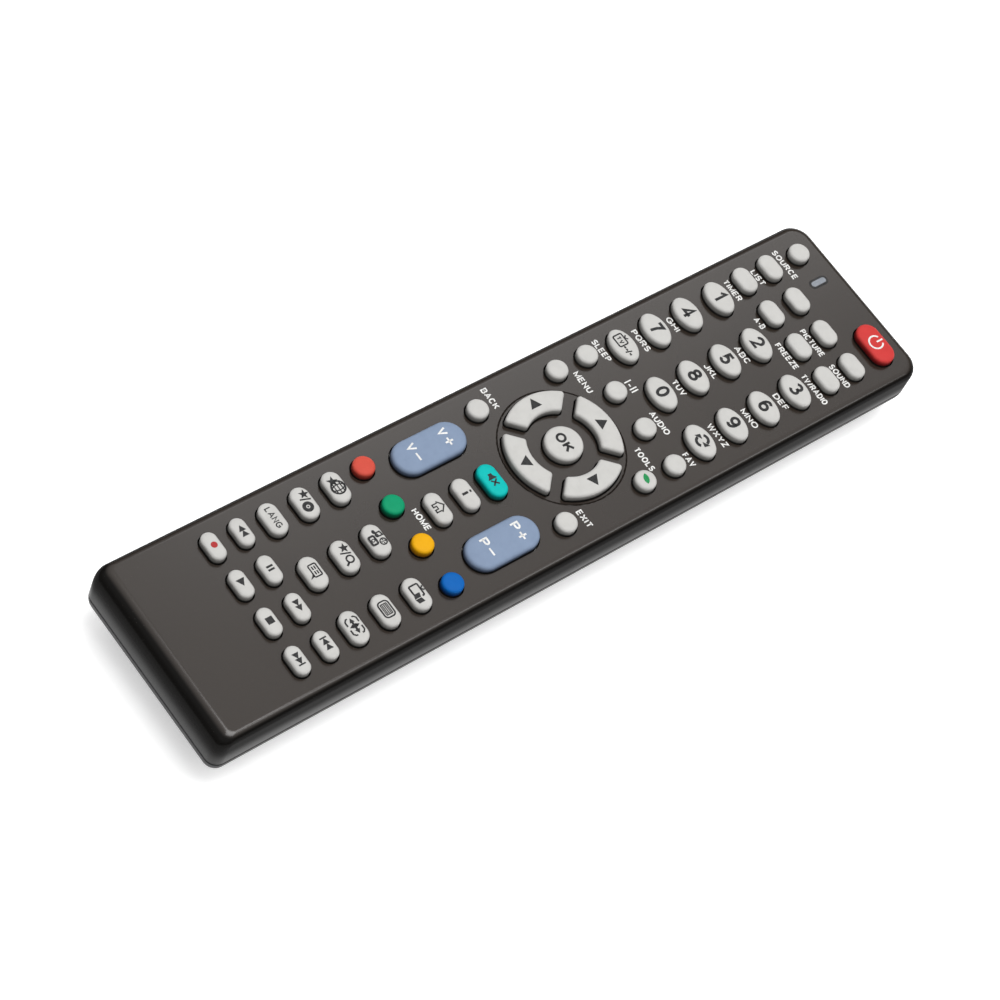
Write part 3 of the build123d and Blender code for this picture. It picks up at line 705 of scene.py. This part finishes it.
def edges_of(points, width, closed):
    """Both edges of a line of even width: each point goes out across its bisector.

    A point at the same place as the next is left out. Past the widest bend, the edges of a corner
    go no farther out.
    """
    apart = np.linalg.norm(np.roll(points, -1, axis=0) - points, axis=1) > same_place
    apart[-1] |= not closed
    points = points[apart]
    ahead = np.roll(points, -1, axis=0) - points
    if not closed:
        ahead[-1] = ahead[-2]
    ahead /= np.linalg.norm(ahead, axis=1)[:, None]
    before = np.roll(ahead, 1, axis=0)
    if not closed:
        before[0] = ahead[0]
    across = np.column_stack([-ahead[:, 1] - before[:, 1], ahead[:, 0] + before[:, 0]])
    across /= np.linalg.norm(across, axis=1)[:, None]
    bend = np.clip((ahead * before).sum(1), np.cos(widest_bend), 1)
    across *= (width / 2 / np.sqrt((1 + bend) / 2))[:, None]
    return points + across, points - across


def printed(strokes, x, y, height):
    """Strokes as closed plates as thin as a print, half sunk in what they are printed on."""
    rise = print_rise / mm
    parts = []
    for points, width, closed in strokes:
        if width is None:
            part = plate(points, -rise, rise)
        else:
            left, right = edges_of(points, width, closed)
            if closed:
                part = skin([at_height(right, rise), at_height(right, -rise),
                             at_height(left, -rise), at_height(left, rise)], looped=True)
            else:
                part = plate(np.vstack([right, left[::-1]]), -rise, rise)
        parts.append(placed(part, x, y, height, scale=mm))
    return parts


def words(text, height, width=None, x=0.0, y=0.0, stroke=0.18):
    """Lettering with its middle at x, y, drawn out to this width.

    The strokes are stroke times the height wide, and their middles run inside each letter's box
    half a stroke in from its edges.
    """
    pen = stroke * height
    widths = [letters[sign][0] * height for sign in text]
    space = 0.11 * height
    natural = sum(widths) + space * (len(text) - 1)
    scale = width / natural if width else 1.0
    left = x - natural * scale / 2
    strokes = []
    for sign, wide in zip(text, widths):
        inner = (max(wide * scale - pen, 0), height - pen)
        corner = (left + pen / 2, y - height / 2 + pen / 2)
        for path in letters[sign][1:]:
            closed = np.allclose(path[0], path[-1])
            strokes.append(line(corner + np.array(path) * inner, pen, closed))
        left += (wide + space) * scale
    return strokes


def bow(x, y, across, up, first, last):
    """Points on part of an ellipse, from one angle to another, in degrees."""
    turns = np.radians(np.linspace(first, last, 2 + int(abs(last - first) / 15)))
    return ((x, y) + circle(turns) * (across, up)).tolist()


# Each letter: its width for a height of 1, and its strokes in a box of 1 by 1. A stroke whose last
# point is its first is closed.
round_letter = bow(0.5, 0.5, 0.5, 0.5, 0, 360)
upper_bow = [(0, 0), (0, 1), (0.55, 1)] + bow(0.55, 0.74, 0.43, 0.26, 75, -90) + [(0, 0.48)]
letters = {
    "A": (0.86, [(0, 0), (0.5, 1), (1, 0)], [(0.2, 0.3), (0.8, 0.3)]),
    "B": (0.74, [(0, 0.5), (0, 1), (0.55, 1)] + bow(0.55, 0.75, 0.38, 0.25, 75, -90) + [(0, 0.5)],
          [(0, 0.5), (0.6, 0.5)] + bow(0.6, 0.25, 0.4, 0.25, 75, -90) + [(0, 0), (0, 0.5)]),
    "C": (0.82, bow(0.5, 0.5, 0.5, 0.5, 42, 318)),
    "D": (0.80, [(0, 0), (0, 1), (0.4, 1)] + bow(0.4, 0.5, 0.6, 0.5, 75, -90) + [(0, 0)]),
    "E": (0.68, [(1, 1), (0, 1), (0, 0), (1, 0)], [(0, 0.52), (0.9, 0.52)]),
    "F": (0.64, [(1, 1), (0, 1), (0, 0)], [(0, 0.5), (0.85, 0.5)]),
    "G": (0.86, bow(0.5, 0.5, 0.5, 0.5, 42, 300) + [(1, 0.2), (1, 0.46), (0.56, 0.46)]),
    "H": (0.76, [(0, 0), (0, 1)], [(1, 0), (1, 1)], [(0, 0.52), (1, 0.52)]),
    "I": (0.19, [(0.5, 0), (0.5, 1)]),
    "J": (0.62, [(1, 1)] + bow(0.5, 0.32, 0.5, 0.32, 0, -165)),
    "K": (0.78, [(0, 0), (0, 1)], [(0, 0.34), (1, 1)], [(0.36, 0.58), (1, 0)]),
    "L": (0.66, [(0, 1), (0, 0), (1, 0)]),
    "M": (0.90, [(0, 0), (0, 1), (0.5, 0.08), (1, 1), (1, 0)]),
    "N": (0.76, [(0, 0), (0, 1), (1, 0), (1, 1)]),
    "O": (0.88, round_letter),
    "P": (0.72, upper_bow),
    "Q": (0.88, round_letter, [(0.6, 0.3), (1, -0.06)]),
    "R": (0.78, upper_bow, [(0.45, 0.48), (1, 0)]),
    "S": (0.72, bow(0.5, 0.75, 0.46, 0.25, 25, 262) + bow(0.5, 0.25, 0.5, 0.26, 82, -155)),
    "T": (0.74, [(0, 1), (1, 1)], [(0.5, 1), (0.5, 0)]),
    "U": (0.76, [(0, 1), (0, 0.36)] + bow(0.5, 0.36, 0.5, 0.36, 190, 350) + [(1, 0.36), (1, 1)]),
    "V": (0.80, [(0, 1), (0.5, 0), (1, 1)]),
    "W": (1.15, [(0, 1), (0.26, 0), (0.5, 1), (0.74, 0), (1, 1)]),
    "X": (0.80, [(0, 0), (1, 1)], [(0, 1), (1, 0)]),
    "Y": (0.80, [(0, 1), (0.5, 0.44), (1, 1)], [(0.5, 0.44), (0.5, 0)]),
    "Z": (0.72, [(0, 1), (1, 1), (0, 0), (1, 0)]),
    "-": (0.42, [(0, 0.4), (1, 0.4)]),
    "/": (0.5, [(0, 0), (1, 1)]),
    "i": (0.22, [(0.5, 0), (0.5, 0.66)], [(0.5, 0.86), (0.5, 1.06)]),
    "0": (0.71, round_letter),
    "1": (0.50, [(0, 0.74), (0.85, 1.04), (0.85, -0.1)]),
    "2": (0.71, bow(0.5, 0.68, 0.5, 0.32, 170, -25) + [(0.05, 0), (1.05, 0)]),
    "3": (0.70, bow(0.46, 0.76, 0.46, 0.24, 155, -90), bow(0.46, 0.26, 0.54, 0.26, 90, -155)),
    "4": (0.74, [(0.72, -0.1), (0.72, 1), (0, 0.26), (1.05, 0.26)]),
    "5": (0.70, [(0.95, 1), (0.2, 1), (0.1, 0.5)] + bow(0.48, 0.31, 0.5, 0.31, 125, -155)),
    "6": (0.71, bow(0.5, 0.31, 0.5, 0.31, 0, 360), bow(0.55, 0.5, 0.55, 0.5, 50, 195)),
    "7": (0.68, [(0, 1), (1, 1), (0.58, 0.5), (0.4, -0.1)]),
    "8": (0.72, bow(0.5, 0.77, 0.42, 0.23, 0, 360), bow(0.5, 0.27, 0.5, 0.27, 0, 360)),
    "9": (0.71, bow(0.5, 0.69, 0.5, 0.31, 0, 360), bow(0.45, 0.5, 0.55, 0.5, 230, 375)),
}


def arc(x, y, radius, first=0.0, last=360.0, squeeze=1.0):
    """Points on an arc, in degrees; squeeze narrows it across. A full turn leaves its end out."""
    turns = np.radians(np.linspace(first, last, 40, endpoint=last - first < 360))
    return (x, y) + circle(turns) * (squeeze * radius, radius)


def ring(x, y, radius, width, squeeze=1.0):
    return line(arc(x, y, radius, squeeze=squeeze), width, closed=True)


def dot(x, y, radius, squeeze=1.0):
    return area(arc(x, y, radius, squeeze=squeeze))


def bar(x, y, half, width):
    """A level line about its middle."""
    return line([(x - half, y), (x + half, y)], width)


def box_line(x, y, width, height, radius, pen):
    """A rectangle with round corners, drawn as a line."""
    core, normal = rounded(width, height, radius, 32)
    return line((x, y) + core + radius * normal, pen, closed=True)


def star(x, y, radius):
    """A star with five points."""
    reach = np.tile((1.0, 0.42), 5) * radius
    return area((x, y) + circle(pi / 2 + np.arange(10) * pi / 5) * reach[:, None])


def arrow(x, y, size, turn):
    """A triangle that points along turn, in degrees."""
    shape = np.array(((0.5, 0), (-0.5, 0.58), (-0.5, -0.58))) * size
    return area(turned(shape, radians(turn)) + (x, y))


def leaf(radius, drop, slope):
    """A pointed leaf: two arcs that meet in two tips, turned by its slope in degrees."""
    half_turn = np.degrees(np.arccos(drop / radius))
    over = arc(0, -drop, radius, 90 - half_turn, 90 + half_turn)
    under = arc(0, drop, radius, 270 - half_turn, 270 + half_turn)
    return area(turned(np.vstack([over[:-1], under[:-1]]), radians(slope)))


def double_arrow(side, barred=False):
    """Two arrows that point to one side, -1 or 1, up to a bar if asked."""
    strokes = [arrow(x, 0, 1.5, 90 - 90 * side) for x in (-0.68, 0.68)]
    if barred:
        strokes.append(line([(side * 1.5, -0.85), (side * 1.5, 0.85)], 0.36))
    return strokes


def rocker_signs(letter):
    """The letter with a plus at the head end and with a minus at the tail end."""
    strokes = []
    for y in (4.6, -4.1):
        strokes += words(letter, 2.35, 2.0, x=-1.6, y=y, stroke=0.2)
        strokes.append(bar(1.1, y, 1.0, 0.45))
    return strokes + [line([(1.1, 3.6), (1.1, 5.6)], 0.45)]


# Signs on the keys
power_sign = [line(arc(0, -0.1, 1.75, 122, 418), 0.42), line([(0, 0.15), (0, 2.0)], 0.42)]
globe_star_sign = [
    ring(0.45, 0.1, 1.6, 0.42), ring(0.45, 0.1, 1.6, 0.28, squeeze=0.45), bar(0.45, 0.1, 1.6, 0.28),
    bar(0.45, 0.95, 1.3, 0.28), bar(0.45, -0.75, 1.3, 0.28), star(-1.35, -0.3, 1.4)]
media_sign = [
    dot(-1.75, 0.25, 0.42, 1.25), dot(-0.75, 0.45, 0.42, 1.25),
    line([(-1.36, 0.3), (-1.36, 1.5), (-0.36, 1.75), (-0.36, 0.5)], 0.3),
    ring(1.15, 0.95, 0.78, 0.32), dot(1.55, 0.95, 0.17), dot(1.15, 1.35, 0.17),
    dot(0.75, 0.95, 0.17), dot(1.15, 0.55, 0.17), dot(1.15, 0.95, 0.14),
    box_line(0, -1.0, 2.1, 1.35, 0.3, 0.5), ring(0, -1.0, 0.34, 0.2),
    area([(-0.5, -0.4), (0.5, -0.4), (0.3, -0.05), (-0.3, -0.05)])]
screen_guide_sign = [
    line([(0.15, -1.1), (-1.75, -1.1), (-1.95, -0.9), (-1.95, 0.9), (-1.75, 1.1), (0.9, 1.1),
          (1.1, 0.9), (1.1, 0.5)], 0.4),
    line([(-1.0, 1.85), (-0.45, 1.15), (0.1, 1.85)], 0.32),
    area([(0.1, 0.35), (1.2, 0.05), (1.2, -1.5), (0.1, -1.2)]),
    area([(1.35, 0.05), (2.45, 0.35), (2.45, -1.2), (1.35, -1.5)])]
star_disc_sign = [star(-1.75, 0.7, 1.25), line([(-0.9, -0.9), (-0.1, 1.5)], 0.36),
                  ring(1.3, -0.2, 0.88, 0.84), dot(1.3, -0.2, 0.22)]
star_search_sign = [star(-1.65, 0.6, 1.25), line([(-0.75, -0.95), (0.05, 1.4)], 0.36),
                    ring(1.25, 0.3, 0.85, 0.4), line([(1.85, -0.4), (2.45, -1.2)], 0.48)]
text_frame_sign = [box_line(0, 0, 4.0, 2.6, 0.85, 0.36), box_line(0, 0, 2.7, 1.55, 0.12, 0.24)]
text_frame_sign += [bar(0, y, 1.2, 0.25) for y in (0.42, 0.0, -0.42)]
subtitle_sign = [box_line(-0.15, 0.35, 3.1, 1.9, 0.3, 0.34),
                 area([(0.25, -0.5), (1.15, -0.5), (1.45, -1.7)])]
subtitle_sign += [bar(x, y, 0.45, 0.32) for y in (0.68, 0.08) for x in (-0.75, 0.45)]
focus_sign = [bar(0, 0, 1.0, 0.55), line([(0, -0.6), (0, 0.6)], 0.75)]
for side in (-1, 1):
    focus_sign += [arrow(side * 1.45, 0, 1.1, 90 - 90 * side), arrow(0, side * 0.8, 0.9, 90 * side)]
    corner = np.array(((0.5, 1.45), (1.6, 1.45), (2.1, 1.0), (2.1, 0.6)))
    focus_sign += [line(corner * (side, end), 0.34) for end in (-1, 1)]
house_sign = [
    line([(-1.45, 0.05), (0, 1.35), (1.45, 0.05)], 0.32),
    line([(-1.05, 0.1), (-1.05, -1.2), (-0.38, -1.2), (-0.38, -0.4), (0.38, -0.4), (0.38, -1.2),
          (1.05, -1.2), (1.05, 0.1)], 0.3)]
crossed_speaker_sign = [
    area([(-1.5, 0.5), (-0.9, 0.5), (0.0, 1.2), (0.0, -1.2), (-0.9, -0.5), (-1.5, -0.5)]),
    line([(0.2, 0.75), (1.6, -0.75)], 0.4), line([(0.2, -0.75), (1.6, 0.75)], 0.4)]
channel_digits_sign = [box_line(-1.3, -0.2, 3.1, 2.4, 0.4, 0.36),
                       line([(-1.9, 1.7), (-1.3, 1.1), (-0.7, 1.7)], 0.3)]
channel_digits_sign += words("TV", 1.25, 2.1, x=-1.3, y=-0.25, stroke=0.24)
channel_digits_sign += [bar(x, -0.45, 0.3, 0.46) for x in (0.8, 1.55, 2.95)]
channel_digits_sign += [line([(1.95, -1.2), (2.4, 0.4)], 0.34)]
pause_sign = [line([(x, -0.8), (x, 0.8)], 0.5) for x in (-0.42, 0.42)]
stop_sign = [area([(-0.85, -0.85), (0.85, -0.85), (0.85, 0.85), (-0.85, 0.85)])]

# Two bent arrows that chase each other: the second is the first, half a turn round
swap_sign = []
for side in (1, -1):
    swap_sign.append(line(side * arc(-0.05, 0.2, 1.3, 10, 135) + (0.3, 0), 0.7))
    swap_sign.append(area(side * np.array(((0.3, -0.25), (2.05, 0.8), (1.65, -0.65))) + (0.3, 0)))

# The signs on each key node's caps, from left to right
key_signs = {
    "power_key": [power_sign],
    "channel_digits_key": [channel_digits_sign],
    "swap_key": [swap_sign],
    "quick_menu_key": [[leaf(1.7, 1.02, -18)]],
    "ok_key": [words("OK", 2.6, 5.15, stroke=0.23)],
    "up_key": [[arrow(0, 0, 2.6, 90)]],
    "left_key": [[arrow(-0.3, 0, 2.6, 180)]],
    "down_key": [[arrow(0, -0.15, 2.6, 270)]],
    "right_key": [[arrow(0, 0, 2.6, 0)]],
    "mute_key": [crossed_speaker_sign],
    "info_key": [words("i", 2.9, stroke=0.21)],
    "home_key": [house_sign],
    "function_keys_row_1": [globe_star_sign, media_sign, screen_guide_sign],
    "function_keys_row_2": [star_disc_sign, star_search_sign, text_frame_sign],
    "function_keys_row_3": [words("LANG", 1.6, 5.4, stroke=0.17), subtitle_sign, focus_sign],
    "playback_keys_row_1": [double_arrow(-1), pause_sign, double_arrow(1), double_arrow(-1, barred=True)],
    "playback_keys_row_2": [[], [arrow(0, 0, 1.85, 0)], stop_sign, double_arrow(1, barred=True)],
    "volume_rocker": [rocker_signs("V")],
    "channel_rocker": [rocker_signs("P")],
}
for value, name in enumerate(digit_names):
    key_signs[f"{name}_key"] = [words(str(value), 3.65, stroke=0.2)]
sign_inks = {"power_key": "white_ink", "volume_rocker": "white_ink", "channel_rocker": "white_ink",
             "quick_menu_key": "green_ink"}


def print_signs(name, node, signs, ink_name):
    """The signs of one ink on a key node's caps, as one piece on its body."""
    parts = []
    for one, sign in zip(keys[node], signs):
        parts += printed(sign, *sign_place(node, one), one.top - print_rise)
    build(name, parts, node, [ink_name])


for node, signs in key_signs.items():
    print_signs(f"{node}_print", node, signs, sign_inks.get(node, "dark_ink"))
print_signs("record_dot_print", "playback_keys_row_2", [[dot(0, 0, 0.76)]], "red_ink")

# Words on the cover: for each key node, their offset from its caps and, for each cap from left to
# right, its word and the width of that. A tall word has its own height and rises by its own amount.
label_height = 1.63
tall_labels = {"I-II": (2.3, 0.24)}
below_number = (0.2, -4.2)
below_capsule = (0.35, -3.7)
labels = {
    "source_key": ((0.5, -4.5), [("SOURCE", 8.85)]),
    "mode_keys_row_1": (below_capsule, [("LIST", 4.6), ("", 0), ("PICTURE", 8.2), ("SOUND", 6.9)]),
    "mode_keys_row_2": (below_capsule, [("TIMER", 6.3), ("A-B", 3.25), ("FREEZE", 7.85),
                                        ("TV/RADIO", 8.95)]),
    "two_key": (below_number, [("ABC", 5.15)]),
    "three_key": (below_number, [("DEF", 4.8)]),
    "four_key": (below_number, [("GHI", 4.25)]),
    "five_key": (below_number, [("JKL", 4.25)]),
    "six_key": (below_number, [("MNO", 5.6)]),
    "seven_key": (below_number, [("PQRS", 6.3)]),
    "eight_key": (below_number, [("TUV", 4.5)]),
    "nine_key": (below_number, [("WXYZ", 6.8)]),
    "sound_keys": ((0.1, 4.76), [("SLEEP", 6.3), ("I-II", 3.35), ("AUDIO", 6.7), ("FAV", 3.8)]),
    "menu_key": ((5.0, 4.3), [("MENU", 6.15)]),
    "quick_menu_key": ((-5.0, 4.3), [("TOOLS", 6.6)]),
    "back_key": ((-1.6, 5.2), [("BACK", 5.8)]),
    "exit_key": ((0.75, 5.2), [("EXIT", 4.8)]),
    "home_key": ((-0.05, -4.2), [("HOME", 5.9)]),
}


def print_labels():
    """All the words on the cover, as one piece of white ink."""
    parts = []
    for node, ((x, y), row) in labels.items():
        for one, (text, width) in zip(keys[node], row):
            height, rise = tall_labels.get(text, (label_height, 0))
            sign = words(text, height, width, stroke=0.2 * label_height / height)
            parts += printed(sign, one.x + x * mm, one.y + (y + rise) * mm, 0)
    build("cover_labels", parts, "top_cover", ["white_ink"])


def print_window_rim(pen):
    """A black line round the window, as one piece of ink on the cover: a painted shadow of the window's recess."""
    lens = to_face(corners("indicator_lens"))
    proud = lens[lens[:, 2] > 0]
    x, y = (proud.min(0) + proud.max(0))[:2] / 2
    width, length = np.ptp(proud, axis=0)[:2] / mm + pen
    rim = printed([box_line(0, 0, width, length, width / 2, pen)], x, y, 0)
    build("window_shadow_ring", rim, "top_cover", ["dark_ink"])


print_labels()
# Painted shadow: a dark ink ring round the window stands for the shade of its recess.
print_window_rim(pen=0.42)


# The case: merged copies of the CAD shells
def smooth_copy(node, name, flat):
    """A merged, smoothly shaded copy of a CAD node.

    Its outermost plane along the direction flat stays truly flat: the corners that lie in it take
    that direction as their normal, but for those of walls that meet it at more than a crease.
    """
    mesh = frame["nodes"][node].data.copy()
    mesh.materials.clear()
    finish_mesh(name, mesh, node, [finish_of[node]], [node])
    flat = np.array(flat)
    level = read(mesh.vertices, "co", 3) @ flat
    normals = read(mesh.corner_normals, "vector", 3)
    vertex = read(mesh.loops, "vertex_index", kind=int)
    sizes = read(mesh.polygons, "loop_total", kind=int)
    face = np.repeat(np.arange(len(sizes)), sizes)
    in_plane = (level > level.max() - merge_distance)[vertex]
    whole = np.bincount(face, in_plane) == sizes
    soft = normals @ flat > np.cos(crease)
    normals[whole[face] | in_plane & soft] = flat
    mesh.normals_split_custom_set(normals.tolist())


downwards = (0.0, 0.0, -1.0)
smooth_copy("top_cover", "cover_moulding", outwards)
smooth_copy("bottom_shell", "shell_moulding", downwards)
smooth_copy("battery_door", "door_moulding", downwards)
smooth_copy("indicator_lens", "lens_window", outwards)
smooth_copy("infrared_emitter", "emitter_lamp", (0.0, 1.0, 0.0))


def emboss_door():
    """A plain triangle on the door that points to the finger notch. It lies within the recess."""
    low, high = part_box("battery_door")
    tip = arrow(0, high[1] - door_arrow_from_head, door_arrow_size, 90)
    raised = plate(tip.points, low[2] - door_arrow_rise, low[2] + print_rise)
    build("door_arrow", [raised], "battery_door", ["shell_matte"])


emboss_door()


# The cells and their springs
def lathe(profile, centre):
    """Rings round an axis along Y: point (y, r) of the profile goes round at the radius r.

    Each point of a ring is at the centre plus (r cos t, y, r sin t).
    """
    turn = np.arange(lathe_steps) * 2 * pi / lathe_steps
    profile = np.asarray(profile, float)[:, :, None]
    y, radius = profile[:, 0], profile[:, 1]
    rings = np.stack([radius * np.cos(turn), y + 0 * turn, radius * np.sin(turn)], axis=-1)
    return rings + centre


def cell(node, button_end):
    """An AAA cell from its flat end to its button: steel ends, a plastic sleeve and its collar."""
    low, high = np.array(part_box(node))
    centre = (low + high) / 2
    length, radius = high[1] - low[1], (high[0] - low[0]) / 2
    radius -= print_rise
    flat_end = -length / 2
    can_top = length / 2 - cell_button_height
    collar = can_top - cell_collar_height

    def turning(end, *points, unit=radius):
        """Points of a profile: millimetres past an end, and the distance from the axis in units."""
        return [(end + past * mm, out * unit) for past, out in points]

    steel_foot = turning(flat_end, (0.12, 0), (0.12, 0.52), (0, 0.56), (0, 0.84), (0.25, 0.90),
                         (0.3, 0.92))
    sleeve = steel_foot[-1:] + turning(flat_end, (0.16, 0.94), (0.2, 0.975), (0.5, 1))
    band = [sleeve[-1], (collar - cell_light_length, radius)]
    light = band[-1:] + turning(collar, (0, 1), (0.25, 1))
    light += turning(can_top, (-0.3, 0.97), (-0.02, 0.91), (-0.05, 0.84))
    gasket = light[-1:] + turning(can_top, (-0.25, 0.82), (-0.25, 0.45))
    button = gasket[-1:] + turning(can_top, (-0.1, 1.95), (0, 1.9), unit=mm)
    button += turning(length / 2, (-0.3, 1.86), (-0.06, 1.7), (0, 1.4), (0, 0), unit=mm)
    parts = []
    for paint, profile in ((0, steel_foot), (1, sleeve), (1, band), (2, light), (3, gasket),
                           (0, button)):
        parts.append(skin(lathe(np.array(profile) * (button_end, 1), centre), paint))
    sign_y = collar - cell_sign_from_collar
    for across, along in ((0.5, 2.1), (2.1, 0.5)):
        parts.append(bent_bar(centre, radius + print_rise / 2, button_end * sign_y,
                              across * mm, along * mm, 4))
    build(f"{node}_cell", parts, node,
          ["contact_plate", "cell_sleeve", "cell_band", "cell_ring", "dark_ink"], [node])


def bent_bar(centre, radius, y, across, along, paint):
    """A printed bar that follows a cell's round side, on its lower face: across by along.

    Its points go round the bar's four edges at angles t in the cell's plane, at (r sin t, -r cos t).
    """
    turn = np.linspace(-across, across, bar_steps) / 2 / radius
    edges = []
    for out, side in ((0, -1), (0, 1), (-print_rise, 1), (-print_rise, -1)):
        edges.append(np.column_stack([(radius + out) * np.sin(turn),
                                      np.full(bar_steps, y + side * along / 2),
                                      -(radius + out) * np.cos(turn)]))
    return closed_tube(np.stack(edges, axis=1) + centre, paint)


def closed_tube(rings, paint=0):
    """A skin through rings whose first and last ring are closed by a face each."""
    tube = skin(rings, paint)
    count = rings.shape[1]
    last = len(tube.points) - count
    ends = [list(range(count))[::-1], list(range(last, last + count))]
    return Part(tube.points, tube.faces + ends, paint)


def spring(solid, cell_side):
    """A coil spring: a tube on a helix whose end turns lie close together.

    At the share s of the way, the wire's middle is at the angle 2 pi turns s and at the length
    times s - 0.12 sin(2 pi s). Rings of the wire stand on the radius and on their cross product
    with the helix's direction.
    """
    low, high = solid.min(0), solid.max(0)
    centre = (low + high) / 2
    reach = (high[0] - low[0]) / 2 - spring_wire_radius
    span = high[1] - low[1] - 2 * spring_wire_radius
    share = np.linspace(0, 1, spring_steps)
    angle = 2 * pi * spring_turns * share
    along = span * (share - 0.12 * np.sin(2 * pi * share) - 0.5) * cell_side
    radial = np.stack([np.cos(angle), np.zeros_like(angle), np.sin(angle)], axis=1)
    middle = centre + reach * radial + np.outer(along, (0, 1, 0))
    ahead = np.gradient(middle, axis=0)
    ahead /= np.linalg.norm(ahead, axis=1)[:, None]
    side = np.cross(ahead, radial)
    section = circle(np.arange(wire_sides) * 2 * pi / wire_sides) * spring_wire_radius
    return closed_tube(middle[:, None] + section[:, :1] * radial[:, None]
                       + section[:, 1:] * side[:, None])


cell("left_battery", 1)
cell("right_battery", -1)
left_spring, right_spring = solids_of("contact_springs")
build("springs", [spring(left_spring, 1), spring(right_spring, -1)], "contact_springs",
      ["contact_plate"], ["contact_springs"])

# What no piece stands for is hidden inside: it keeps its CAD mesh and takes its finish
for node, hidden in frame["nodes"].items():
    if node not in dressed:
        hidden.data.materials.clear()
        hidden.data.materials.append(finishes[finish_of[node]])


# The stage: floor, world, lights and camera
def make_floor():
    """A pale flat floor just under the remote, lit a little from below like a light table."""
    half = 3.0
    height = -0.1 * mm
    outline = [(-half, -half, height), (half, -half, height), (half, half, height), (-half, half, height)]
    mesh = bpy.data.meshes.new("floor")
    mesh.from_pydata(outline, [], [(0, 1, 2, 3)])
    finish("floor_pale", lambda place: {
        "Base_Color": place.noise(0.08, 3.0).blend(gray(0.86), gray(0.9))},
        Roughness=0.9, Emission_Color=gray(1.0), Emission_Strength=0.38)
    mesh.materials.append(finishes["floor_pale"])
    floor = in_scene("floor", mesh)


def make_world(zenith, horizon):
    """A soft dome: bright overhead and dark towards the horizon."""
    world = bpy.data.worlds.new("studio")
    bpy.context.scene.world = world
    world.use_nodes = True
    tree = world.node_tree
    sky = Field(tree, tree.nodes.new("ShaderNodeTexCoord").outputs["Generated"])
    rise = sky.part(2).step(dark_below, bright_above)
    tree.links.new(rise.blend(gray(horizon), gray(zenith)).socket,
                   tree.nodes["Background"].inputs["Color"])


def softbox(name, place, aim, size, length, power):
    """A rectangular area light at a place, turned to the point aim; its length lies along Y."""
    light = bpy.data.lights.new(name, "AREA")
    light.shape = "RECTANGLE"
    light.size = size
    light.size_y = length
    light.energy = power
    lamp = in_scene(name, light)
    lamp.location = place
    lamp.rotation_euler = (Vector(aim) - Vector(place)).to_track_quat("-Z", "Y").to_euler()


def make_camera():
    """The photograph's camera, worked out from the case's edges and the rows of keys.

    It is placed in the frame of the face, from the middle of the direction ring.
    """
    camera = in_scene("camera", bpy.data.cameras.new("camera"))
    camera.data.sensor_width = 36.0
    camera.data.lens = 117.68
    centre = keys["ok_key"][0]
    camera.location = from_face(np.array(camera_from_ring) + (centre.x, centre.y, 0))
    camera.rotation_euler = [radians(turn) for turn in camera_turns]
    bpy.context.scene.camera = camera


camera_from_ring = (0.2142, -0.38420, 0.5822)
camera_turns = (32.150, -14.726, 52.664)
dark_below = 0.30
bright_above = 0.78
make_floor()
make_world(zenith=1.05, horizon=0.12)
softbox("overhead", (0.12, 0.1, 1.6), (0, 0, 0), size=0.9, length=0.9, power=13.6)
softbox("edge_strip", (0.87, 1.1, 1.6), (0, 0, 0), size=0.2, length=1.2, power=3.6)
softbox("left_glow", (-0.90, 1.3, 1.6), (-0.90, 1.3, 0), size=0.5, length=1.1, power=3.5)
make_camera()
bpy.context.scene.view_settings.view_transform = "Standard"
